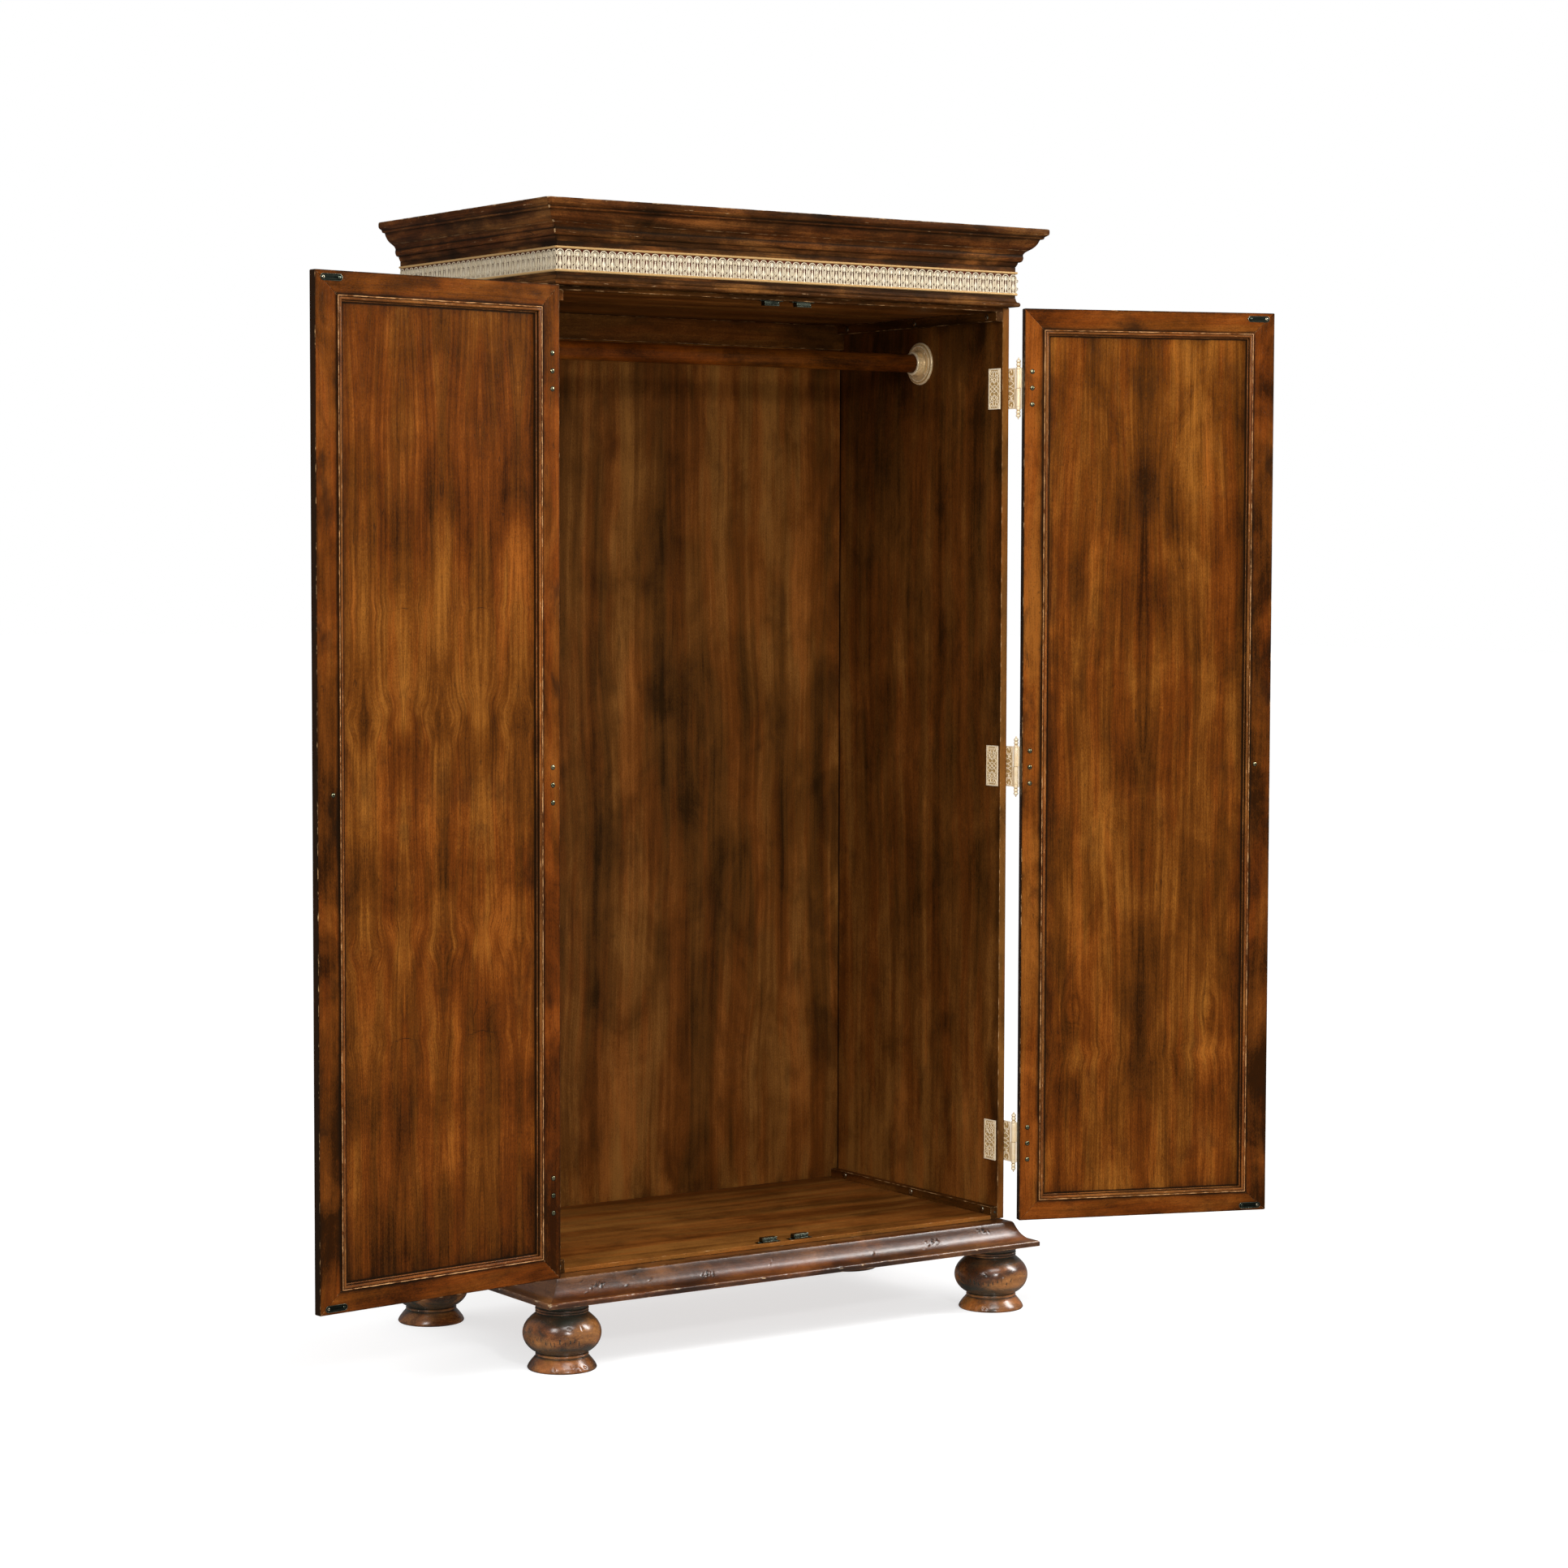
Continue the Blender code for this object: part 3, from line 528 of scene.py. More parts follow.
# ---- carcass boards
INNER_BACK_Y = span("back_panel")[0].y
FLOOR_FRONT_Y = span("floor_board")[0].y


def side_painted_light(p):
    """Painted light and shade: golden and lighter at the front edge, lighter towards the floor and darker
    towards the top.
    """
    return np.where(p[:, 1] < 1.0, 0.8, np.interp(p[:, 2], (190, 700, 1300, 2036), (0.38, 0.04, -0.1, -0.22)))


# Painted light and shade on the back panel: lighter near the floor and near the top, darkest at about 1.1 m
# high.
def back_painted_light(p):
    return np.interp(p[:, 2], (190, 700, 1100, 1500, 2036), (0.1, -0.04, -0.16, 0.02, 0.06))


def floor_tone(p):
    """Golden at the front edge."""
    return np.where(p[:, 1] < FLOOR_FRONT_Y + 0.9, 0.8, 0.2)


def corner_shade(p):
    """Painted shade in the corner beside the back panel."""
    return 1.2 * np.clip(1 - (INNER_BACK_Y - p[:, 1]) / 5, 0, 1)


def front_end(p):
    """Glaze on the front end of a cleat."""
    return 0.3 * (p[:, 1] < 3.2)


for side in ("left", "right"):
    board(f"side_panel_{side}", look=INNER, soft=1.2, step=90, shade=0.4, reach=45, wear=0.7, tone=side_painted_light,
          dark=corner_shade, extra=[(1, [INNER_BACK_Y - d for d in (0.5, 3, 6)])])
low, high = span("back_panel")
dust, ceiling = span("dust_board"), span("ceiling_board")[1].z
back = slab(low, (high.x, high.y, ceiling), shade=0.4, reach=50, step=70, soft=0.6, wear=0.3, tone=back_painted_light)
slab((dust[0].x, low.y, ceiling + 0.2), (dust[1].x, high.y, high.z), geo=back, soft=0.6, step=90)
piece("back_panel", back, INNER, "carcass", nodes="back_panel")
board("back_top_rail", along="x", look=INNER, shade=0.4, tone=-0.1)
board("floor_board", along="x", look=INNER, shade=0.25, wear=0.6, soft=0.8, tone=floor_tone)
board("ceiling_board", along="x", look=INNER, shade=0.4, tone=-0.1)
board("dust_board", along="x", look=INNER, shade=0.3)
board("base_back_rail", along="x", look=DARKER, slot="dark_walnut")
for side in ("left", "right"):
    for level, tone in (("floor", -0.22), ("ceiling", -0.3)):
        board(f"{level}_cleat_{side}", along="y", look=INNER, slot="dark_walnut", tone=tone, dark=front_end)

# ---- mouldings round the carcass
INNER_BACK = -45.0
# In the profiles below each row is (out, height, rubbing, glazing). The third column lightens the arrises for
# rubbing and painted highlights; the fourth darkens for glazing and for painted shade in hollows and on
# undersides.
BASE_RUNS = [
    [(INNER_BACK, 130, 0, 0.5), (40.2, 130, 0, 0.5)],
    [(40.2, 130, 0.2, 0.3), (40.9, 130.9, 0.5, 0), (40.9, 132.0, 0.0, 0.6), (40.9, 137.0, 0.0, 0.5),
     (40.5, 139.2, 0.1, 0.1), (39.6, 140.4, 0.7, 0), (38.2, 141.2, 0.1, 0), (34.6, 141.9, 0, 0.25)],
    [(34.6, 141.9, 0.1, 0.4), (28.2, 143.2, 0, 0.2), (20.6, 147.2, 0, 0.05), (13.0, 155.0, 0, 0),
     (7.6, 164.4, 0, 0.1),
     (3.9, 173.2, 0, 0.35), (1.9, 177.2, 0.05, 0.35), (0.4, 178.9, 0.55, 0), (-3.0, 179.9, 0, 0.4)],
    [(-3.0, 179.9, 0.1, 0.5), (-7.5, 180.4, 0, 0.3), (-16, 180.7, 0, 0.1), (-22, 181.0, 0.35, 0),
     (-26, 181.3, 0.1, 0.3)],
    [(-26, 181.3, 0, 0.3), (INNER_BACK, 181.3, 0, 0.3)],
    [(INNER_BACK, 181.3, 0, 0.3), (INNER_BACK, 130, 0, 0.3)],
]
ASTRAGAL_RUNS = [
    [(INNER_BACK, 2044.6, 0, 0.5), (0.6, 2044.6, 0.1, 0.2)],
    [(0.6, 2044.6, 0.1, 0.3), (2.6, 2045.5, 0.1, 0), (3.6, 2048.6, 0.42, 0), (3.1, 2051.4, 0.05, 0),
     (1.6, 2053.2, 0.05, 0.6)],
    [(1.6, 2053.2, 0, 0.8), (-1.2, 2054.4, 0, 0.5), (-2.6, 2057.2, 0, 0.35), (-3.6, 2062.0, 0, 0.5)],
    [(-3.6, 2062.0, 0, 0.6), (INNER_BACK, 2062.0, 0, 0.5)],
    [(INNER_BACK, 2062.0, 0, 0.5), (INNER_BACK, 2044.6, 0, 0.5)],
]
FRIEZE_RUNS = [
    [(INNER_BACK, 2062.3, 0, 0.5), (-4.0, 2062.3, 0, 0.6)],
    [(-4.0, 2062.3, 0, 0.6), (-4.0, 2068.4, 0, 0.5)],
    [(-4.0, 2068.4, 0, 0.2), (-4.0, 2114.2, 0, 0.2)],
    [(-4.0, 2114.2, 0, 0.5), (-4.0, 2124.0, 0, 0.7)],
    [(-4.0, 2124.0, 0, 0.7), (INNER_BACK, 2124.0, 0, 0.5)],
    [(INNER_BACK, 2124.0, 0, 0.5), (INNER_BACK, 2062.3, 0, 0.5)],
]
CORNICE_RUNS = [
    [(INNER_BACK, 2124.3, 0, 0.5), (-3.9, 2124.3, 0, 0.6)],
    [(-3.9, 2124.3, 0, 0.6), (-2.9, 2126.4, 0, 0.5), (-1.2, 2129.6, 0, 0.35), (-0.2, 2133.4, 0.2, 0.3)],
    [(-0.2, 2133.4, 0.1, 0.9), (3.2, 2134.2, 0.1, 0.5), (5.6, 2136.2, 0.0, 0), (7.1, 2140.0, 0.3, 0),
     (7.5, 2143.4, 0.1, 0), (6.9, 2146.6, 0.1, 0.9)],
    [(6.9, 2146.6, 0, 1.1), (7.0, 2149.0, 0, 0.5), (9.6, 2153.4, 0, 0.2), (14.0, 2156.8, 0, 0),
     (14.8, 2157.3, 0.85, 0)],
    [(14.8, 2157.3, 0.85, 0), (15.6, 2157.9, 0, 0.25), (20.6, 2161.6, 0, 0.15), (25.2, 2166.6, 0, 0.0),
     (28.6, 2172.4, 0, 0.1), (30.9, 2178.4, 0.05, 0.6)],
    [(30.9, 2178.4, 0, 1.0), (32.2, 2178.8, 0.1, 0.6), (35.0, 2179.3, 0.1, 0), (36.8, 2180.6, 0.4, 0),
     (37.2, 2182.4, 0.1, 0.3)],
    [(37.2, 2182.4, 0, 1.0), (38.6, 2184.6, 0, 0.6), (42.2, 2186.8, 0.1, 0.1), (44.2, 2189.0, 0.35, 0),
     (44.8, 2192.4, 0.1, 0), (44.7, 2196.6, 0.05, 0), (43.9, 2199.0, 0.75, 0), (41.6, 2200.0, 0.4, 0)],
    [(41.6, 2200.0, 0.2, 0), (INNER_BACK, 2200.0, 0, 0.1)],
    [(INNER_BACK, 2200.0, 0, 0.3), (INNER_BACK, 2124.3, 0, 0.5)],
]


def length_points(part, out, gap=0.08):
    """Where an outline point this far out starts and ends along the front, left or right length."""
    x, y = HALF + out, -(out + FRONT_STEP)
    if part == "front":
        return (-x + gap, y), (x - gap, y)
    sign = 1 if part == "right" else -1
    return (sign * x, y + gap), (sign * x, DEPTH)


def mitred(node, part, runs, step, spacing, look, marks=(), uneven=0.0, tone=0.0, faces_look=None):
    """One length of a moulding, mitred where it meets the next. The front one replaces the node."""
    front = part == "front"
    rows = outline(runs, step)[:-1]
    ends = np.array([length_points(part, out) for out in rows[:, 0]])
    count = max(2, ceil((1084 if front else 590) / spacing))
    t = np.linspace(0, 1, count + 1)[:, None, None]
    plan = ends[None, :, 0] * (1 - t) + ends[None, :, 1] * t
    p = np.concatenate([plan, np.broadcast_to(rows[:, 1][None, :, None], (*plan.shape[:2], 1))], -1)
    wear, glaze = (np.repeat(rows[:, c][None, :], count + 1, 0) for c in (2, 3))
    from_mitre = np.minimum(np.arange(count + 1), np.arange(count, -1, -1) if front else count) * spacing
    glaze = glaze + 0.25 * np.clip(1 - from_mitre / 6, 0, 1)[:, None]
    n = normals(p, wrap_v=True)
    middle = np.array([0, 280, p[..., 2].mean()])
    facing = ((p - middle) * n).sum(-1)
    n *= 1 if np.median(facing) > 0 else -1
    if marks or uneven:
        p, wear, glaze = pressed(p, n, wear, glaze, marks, uneven)
    geo = Geo("x" if front else "y")
    points, faces = grid(p, wrap_v=True)
    width = p.shape[1]
    faces += [list(range(width)), list(range(count * width, (count + 1) * width))]
    geo.add(points, faces, tone=tone, wear=wear.ravel(), glaze=glaze.ravel())
    return piece(node if front else f"{node}_{part}", geo, look, "carcass", nodes=node if front else (),
                 faces_look=faces_look)


def scattered(seed, count, u, v, width, depth, lean=0.0, long=0.01, dark=0.5):
    """Small marks at random places in a part of a grid."""
    rng = random.Random(seed)
    made = []
    for _ in range(count):
        a, b = rng.uniform(*u), rng.uniform(*v)
        made.append((a, b, min(1, a + rng.uniform(0, long)), min(1, b + rng.uniform(0, lean)),
                     rng.uniform(*width), rng.uniform(*depth), dark * rng.uniform(0.4, 1.2)))
    return made


base_rows, cornice_rows = outline(BASE_RUNS, 1.7)[:-1], outline(CORNICE_RUNS, 1.3)[:-1]


def share(rows, out, z):
    """Share of an outline's length at its point nearest to this one."""
    return float(np.argmin(np.hypot(rows[:, 0] - out, rows[:, 1] - z))) / (len(rows) - 1)


NOSE, COVE_LOW, COVE_HIGH = share(base_rows, 39.6, 140.4), share(base_rows, 24, 145), share(base_rows, 4, 173)
TOP_EDGE = share(cornice_rows, 43.9, 2199)
RUBBED = [TOP_EDGE] + [share(cornice_rows, *at) for at in ((14.8, 2157.3), (7.1, 2140), (36.8, 2180.6))]


def red_ground(face):
    """The frieze's middle, behind the fret, takes the second material."""
    return int(2.068 < face.center.z < 2.1145 and abs(face.normal.z) < 0.5)


for part, seed in (("front", 1), ("left", 2), ("right", 3)):
    front = part == "front"
    knocks = scattered(seed, 12 if front else 6, (0.03, 0.97), (COVE_LOW, COVE_HIGH), (0.9, 1.8), (0.3, 0.8),
                       0.02, 0.006, 0.8)
    for centre, level in ((0.085, 0.5), (0.31, 0.35), (0.8, 0.55), (0.925, 0.85)) if front else ((0.4, 0.5),):
        v = COVE_LOW + (COVE_HIGH - COVE_LOW) * level
        for k in range(9):
            knocks += scattered(centre + k, 1, (centre - 0.014, centre + 0.014), (v - 0.02, v + 0.02),
                                (0.8, 1.3), (0.6, 1.2), 0.035, 0.003, 1.1)
    knocks += scattered(seed + 9, 14, (0.0, 1.0), (NOSE - 0.01, NOSE + 0.005), (1.5, 3.2), (0.3, 1.0), 0,
                        0.012, -0.75)
    knocks.append((0.0, NOSE, 0.004, NOSE, 6.0, 1.6, -0.85))
    mitred("base_moulding", part, BASE_RUNS, 1.7, 2.2 if front else 3.6, DARKER, knocks, 0.3, 0.16)
    mitred("astragal", part, ASTRAGAL_RUNS, 1.1, 5, CROWN, uneven=0.12)
    mitred("frieze", part, FRIEZE_RUNS, 8, 60, [CROWN, GROUND], faces_look=red_ground)
    nicks = scattered(seed + 20, 12 if front else 8, (0.02, 0.98), (0.25, 0.5), (0.8, 1.6), (0.3, 0.7),
                      0.004, 0.003, -0.7)
    nicks += scattered(seed + 30, 16 if front else 9, (0.0, 1.0), (TOP_EDGE - 0.004, TOP_EDGE + 0.006),
                       (1.6, 3.4), (0.4, 1.2), 0, 0.01, -0.62)
    nicks += [(0.0, level, 0.0, min(1, level + 0.012), 3.2, 1.0, -1.3) for level in RUBBED]
    mitred("cornice", part, CORNICE_RUNS, 1.3, 4.5, CROWN, nicks, 0.3)

# ---- pierced fret
FRET_LOW, FRET_HIGH = (span("fret_front")[i].z for i in (0, 1))
FRET_BACK = -3.7
FRET_DEEP = 4.0


def strand(path, width, depth, sides=4, lift=0.0, closed=False):
    """A half-round strand along a line in the plane (across, up). Its points are (across, up, out)."""
    path = np.array(path, float)
    if closed:
        ahead = np.roll(path, -1, 0) - np.roll(path, 1, 0)
    else:
        ahead = np.gradient(path, axis=0)
    ahead /= np.maximum(np.linalg.norm(ahead, axis=1, keepdims=True), 1e-9)
    side = np.stack([-ahead[:, 1], ahead[:, 0]], 1)
    turns = np.linspace(0, pi, sides + 1)
    widths = np.broadcast_to(np.asarray(width, float).reshape(-1), (len(path),))
    flat = path[:, None, :] + side[:, None, :] * (np.cos(turns)[None, :, None] * widths[:, None, None] / 2)
    out = lift + depth * np.broadcast_to(np.sin(turns)[None, :, None], (*flat.shape[:2], 1))
    p = np.concatenate([flat, out], -1)
    points, faces = grid(p, wrap_u=closed, wrap_v=True)
    if not closed:
        n = sides + 1
        faces += [list(range(n)), list(range(len(points) - n, len(points)))]
    return points, faces


def arch(half, bottom, spring, sides=9):
    left = [(-half, bottom), (-half, (bottom + spring) / 2)]
    top = [(-half * cos(a), spring + half * sin(a)) for a in np.linspace(0, pi, sides)]
    return left + top + [(half, (bottom + spring) / 2), (half, bottom)]


def ring(x, z, radius, sides=9):
    return [(x + radius * cos(a), z + radius * sin(a)) for a in np.arange(sides) * 2 * pi / sides]


def fret_unit():
    """One arch of the fret: a list of (points, faces), with x across, y up from the bottom edge, z outward.
    """
    top = [(-8.0, 31.6)] + arch(8.0, 31.6, 33.4, 11)[2:-2] + [(8.0, 31.6)]
    parts = [
        strand(top, 2.5, 1.7),
        strand(arch(5.3, 5.8, 32.6, 9), 1.9, 1.2),
        strand([(0, 4.2), (0, 6.2), (0, 8.4), (0, 11.8), (0, 15.6), (0, 19.6), (0, 24.4), (0, 27.4)],
               [7.0, 4.2, 2.6, 6.2, 7.8, 5.4, 2.4, 3.2], 1.5),
        strand([(0, 28.2), (0, 29.6), (0, 32.0), (0, 34.8), (0, 36.8)], [2.8, 5.8, 7.4, 6.0, 2.0], 1.2),
        strand([(-8.0, 5.2), (0, 5.2), (8.0, 5.2)], 1.5, 1.1),
        strand(ring(9.5, 29.2, 2.5), 1.9, 2.1, closed=True),
        strand(ring(9.5, 13.4, 2.5), 1.9, 2.1, closed=True),
    ]
    for x in (-8.0, 8.0):
        parts.append(strand([(x, 4.0), (x, 8.0), (x, 11.3)], 2.3, 1.5))
        parts.append(strand([(x, 15.5), (x, 21.0), (x, 27.1)], 2.3, 1.5))
    return parts


def fret_strip(part):
    unit = fret_unit()
    if part == "front":
        start, length, count = -(HALF - 1.2), 2 * (HALF - 1.2), 57
    else:
        start, length, count = -26.0, DEPTH + 25.0, 32
    pitch = length / count
    geo = Geo("x")
    joints = {4, 22, 40, 52} if part == "front" else {9, 18, 27}
    tall = FRET_HIGH - FRET_LOW

    def put(points):
        points = np.array(points, float)
        across, up, out = points[:, 0], points[:, 1] + FRET_LOW, points[:, 2] + FRET_BACK + 0.25
        if part == "front":
            return np.stack([across, -(out + FRONT_STEP), up], 1)
        sign = 1 if part == "right" else -1
        return np.stack([sign * (HALF + out), across, up], 1)

    for i in range(count):
        centre = start + (i + 0.5) * pitch
        squeeze = 0.965 if (i + 1) in joints else 1.0
        for points, faces in unit:
            p = points * [pitch / 19.0 * squeeze, tall / 47.8, 1.0]
            if i == count - 1 and points[:, 0].min() > 7:
                continue
            p = p + [centre, 0, 0]
            # Lighter on the strands' tops, and painted shade at their bases between the strands.
            geo.add(put(p), faces, wear=0.35 * (points[:, 2] > 1.0), glaze=0.75 * (points[:, 2] < 0.4))
    # The rails are golden, with painted shade along their bases.
    for level in (2.4, tall - 2.4):
        line = [(start + length * k / 40, level) for k in range(41)]
        points, faces = strand(line, 4.8, FRET_DEEP - 0.4, sides=8)
        geo.add(put(points), faces, tone=1.0, wear=0.2, glaze=0.2 * (points[:, 2] < 0.5))
    piece(f"fret_{part}", geo, GILDING, "carcass", nodes=f"fret_{part}")


for part in ("front", "left", "right"):
    fret_strip(part)

# ---- bun feet
# Rows are (radius, height, rubbing, glazing). The third column lightens the rings for rubbing and for painted
# highlights; the fourth darkens the grooves and paints the base's shadow on the upper belly and the shade
# under the belly.
FOOT_RUNS = [
    [(0, 129.6, 0, 0.6), (49.0, 129.6, 0, 0.7)],
    [(49.0, 129.6, 0, 0.8), (52.0, 126.6, 0, 0.6), (52.4, 122.6, 0.1, 0.4), (50.4, 119.8, 0, 0.8),
     (49.3, 118.4, 0, 1.0)],
    [(49.3, 118.4, 0, 1.0), (50.8, 117.4, 0.1, 0.4), (51.2, 115.6, 0.36, 0.1), (50.6, 113.8, 0.05, 0.5),
     (49.4, 112.8, 0, 1.0)],
    [(49.4, 112.8, 0, 1.0), (50.6, 112.0, 0.1, 0.4), (50.9, 110.4, 0.36, 0.1), (50.0, 108.9, 0.05, 0.6),
     (48.9, 108.0, 0, 1.0)],
    [(48.9, 108.0, 0, 1.0), (52.0, 105.6, 0, 0.6), (60.2, 98.6, 0, 0.65), (68.4, 89.6, 0, 0.2),
     (73.4, 79.6, 0, 0), (75.2, 69.0, 0, 0), (73.6, 58.6, 0, 0.2), (68.4, 47.8, 0, 0.75),
     (59.4, 38.6, 0, 1.0), (51.2, 33.8, 0, 0.8), (48.7, 31.8, 0, 1.0)],
    [(48.7, 31.8, 0, 1.0), (50.2, 30.6, 0.1, 0.4), (51.0, 28.6, 0.5, 0.1), (50.4, 26.8, 0.05, 0.5),
     (49.6, 25.8, 0, 1.0)],
    [(49.6, 25.8, 0, 1.0), (53.4, 22.0, 0.1, 0.3), (58.6, 15.8, 0.05, 0), (63.2, 9.6, 0.1, 0),
     (65.8, 4.6, 0.15, 0.1), (66.2, 2.2, 0.1, 0.3), (64.4, 0, 0, 0.7)],
    [(64.4, 0, 0, 0.7), (0, 0, 0, 0.7)],
]
foot_rows = outline(FOOT_RUNS, 1.4)
FOOT_FACE = -90 - 34  # the direction in which a front foot shows its marks, in degrees


def foot_share(height):
    """Share of the foot's outline at a height, leaving out its flat ends."""
    return float(np.argmin(abs(foot_rows[8:-8, 1] - height)) + 8) / (len(foot_rows) - 1)


def foot_marks(where):
    """A row of short cuts round the belly, and shallow dents above and below it."""
    rng = random.Random(where)
    ticks = []
    for k in range(11):
        turn = (FOOT_FACE - 44 + k * 7.4 + rng.uniform(-1.5, 1.5)) % 360 / 360
        top = 66 + rng.uniform(-4, 5)
        ticks.append((foot_share(top), turn, foot_share(top - rng.uniform(4, 9)),
                      turn + rng.uniform(-0.004, 0.004), rng.uniform(0.9, 1.4), rng.uniform(0.7, 1.2), 1.0))
    for k in range(16):
        turn = (FOOT_FACE + rng.uniform(-80, 80)) % 360 / 360
        top = rng.choice([84, 78, 60, 12, 8]) + rng.uniform(-5, 5)
        ticks.append((foot_share(top), turn, foot_share(top - rng.uniform(0, 4)), turn + rng.uniform(0, 0.01),
                      rng.uniform(2.2, 4.6), rng.uniform(0.5, 1.1), 0.25))
    return ticks


for where in ("front_left", "front_right", "back_left", "back_right"):
    name = f"bun_foot_{where}"
    low, high = span(name)
    near = where.startswith("front")
    geo = lathe(foot_rows, 420 if near else 128, ((low.x + high.x) / 2, (low.y + high.y) / 2, 0),
                marks=foot_marks(where) if near else (), uneven=0.25, tone=0.1, along="x")
    piece(name, geo, TURNED, "carcass", nodes=name, angle=50)

# ---- hanging rod and its sockets
low, high = span("hanging_rod")
radius = (high.z - low.z) / 2
rod_y, rod_z = (low.y + high.y) / 2, (low.z + high.z) / 2
rod_rows = [(radius, x, 0, 0) for x in np.linspace(high.x - 0.6, low.x + 0.6, 40)]
rod_rows = [(0, high.x, 0, 0), (radius - 0.6, high.x, 0.3, 0), *rod_rows, (radius - 0.6, low.x, 0.3, 0),
            (0, low.x, 0, 0)]
geo = lathe(np.array(rod_rows, float), 64, (0, rod_y, rod_z), axis="x", along="x", tone=-0.22, uneven=0.05)
piece("hanging_rod", geo, FRAME, "carcass", nodes="hanging_rod")
SOCKET_RUNS = [
    [(19.4, 23.4, 0.3, 0.6), (20.4, 24.0, 1, 0), (22.8, 24.0, 0.9, 0), (24.0, 23.2, 1, 0),
     (24.3, 21.8, 0.6, 0)],
    [(24.3, 21.8, 0, 0), (24.5, 12.0, 0, 0.1), (25.2, 8.4, 0, 0.4), (27.2, 6.2, 0, 0.5), (29.0, 5.6, 0, 0.2)],
    [(29.0, 5.6, 0, 0.1), (33.2, 5.4, 0, 0.1)],
    [(33.2, 5.4, 0, 0.6), (34.4, 6.6, 0.4, 0.1), (36.2, 7.3, 1, 0), (38.0, 6.7, 0.5, 0.1),
     (39.2, 4.9, 0, 0.8)],
    [(39.2, 4.9, 0, 0.8), (41.6, 4.5, 0.4, 0.1), (43.2, 3.8, 0.9, 0), (43.9, 2.4, 0.5, 0), (43.9, 0, 0, 0.3)],
    [(43.9, 0, 0, 0.3), (19.4, 0, 0, 0.3)],
    [(19.4, 0, 0, 0.3), (19.4, 23.4, 0.2, 0.8)],
]
socket_rows = outline(SOCKET_RUNS, 0.9)


# ---- screws
def screw(radius, height, slot=0.0, deep=0.0, cross=False, geo=None):
    """A domed head on the plane z = 0 with a cut slot or cross, about the origin."""
    w = slot / radius if slot else 0
    lines = [-1, -0.85, -0.6, -0.35] + ([-w * 1.05, -w * 0.95, 0] if slot else [-0.15, 0])
    lines = np.array(sorted(set(lines + [-v for v in lines])))
    u, v = np.meshgrid(lines, lines, indexing="ij")
    x, y = u * np.sqrt(1 - v * v / 2), v * np.sqrt(1 - u * u / 2)
    rho = np.clip(x * x + y * y, 0, 1)
    z = height * (1 - rho) ** 0.55
    dark = np.zeros_like(z)
    if slot:
        cut = abs(u) < w
        if cross:
            cut = (cut & (abs(v) < 0.55)) | ((abs(v) < w) & (abs(u) < 0.55))
        z = np.where(cut, np.maximum(z - deep, 0.1), z)
        dark = np.where(cut, 1.0, 0.0)
    z = np.where(rho > 0.995, -0.4, z)
    p = np.stack([x * radius, y * radius, z], -1)
    points, faces = grid(p)
    n = len(lines)
    faces.append(border(np.arange(n * n).reshape(n, n).T))
    made = (geo or Geo("z")).add(points, faces, wear=0.5 * (1 - dark.ravel()) * (rho.ravel() < 0.7),
                                 glaze=dark.ravel())
    # A black seat round the head: painted shade of the recess round it.
    seat = [(radius * 1.17, -0.2), (radius * 1.14, 0.08), (radius * 0.96, 0.14), (radius * 0.96, -0.2)]
    return lathe(np.array([(*r, 0, 1.2) for r in seat]), 24, geo=made)


def fix(name, centre, facing, radius, height, look, body="carcass", base=CARCASS, slot=0.5, deep=0.6,
        cross=False, kind="dark_bronze"):
    """A screw head seated at a point and facing a direction of its parent's frame, turned at random."""
    spin = Matrix.Rotation(random.Random(name).uniform(0, pi), 4, "Z")
    aim = Vector(facing).to_track_quat("Z", "Y").to_matrix().to_4x4()
    matrix = base @ Matrix.Translation(Vector(centre)) @ aim @ spin
    return piece(name, screw(radius, height, slot, deep, cross), look, body, matrix)


def cleat_screws(level, side, sign, places, height, head):
    """Slotted screws along a cleat's inner face."""
    low, high = span(f"{level}_cleat_{side}")
    for k, y in enumerate(places):
        fix(f"{level}_cleat_{side}_screw_{k + 1}", (high.x if sign < 0 else low.x, y, height), (-sign, 0, 0),
            *head[:2], STEEL, slot=0.8, deep=head[2], kind="cast_brass")


SOCKET_SCREWS_OUT = 30.4
for side, sign in (("left", -1), ("right", 1)):
    name = f"rod_flange_{side}"
    low, high = span(name)
    wall = low.x if sign < 0 else high.x
    aim = Matrix.Translation((wall, rod_y, rod_z)) @ Matrix.Rotation(-sign * pi / 2, 4, "Y")
    piece(name, lathe(socket_rows, 72), POLISHED, "carcass", CARCASS @ aim, nodes=name)
    for k in range(4):
        a = pi / 4 + k * pi / 2
        at = (wall - sign * 5.3, rod_y + SOCKET_SCREWS_OUT * cos(a), rod_z + SOCKET_SCREWS_OUT * sin(a))
        fix(f"{name}_screw_{k + 1}", at, (-sign, 0, 0), 2.9, 1.1, BRASS, deep=0.7, kind="cast_brass")
    cleat_screws("floor", side, sign, (31, 279, 521), 198.4, (6.2, 2.2, 1.2))
    low, high = span(f"floor_cleat_{side}")
    fix(f"floor_cleat_{side}_end_screw", ((low.x + high.x) / 2 + sign * 2, low.y, 196), (0, -1, 0), 2.6, 0.8,
        STEEL, kind="cast_brass")
    cleat_screws("ceiling", side, sign, (33, 281, 524), 2026, (5.6, 1.8, 1.1))


# ---- doors, shut, about the right hinge axis
def on_door(points):
    """From (in from the hinge edge, out from the inner face, height) to the shut door's frame."""
    points = np.asarray(points, float)
    return np.stack([EDGE_X - points[..., 0], DOOR_FACE - points[..., 1], points[..., 2]], -1)


WIDTHS = {"hinge_stile": HINGE_STILE, "lock_stile": LOCK_STILE, "top_rail": TOP_RAIL,
          "bottom_rail": BOTTOM_RAIL}


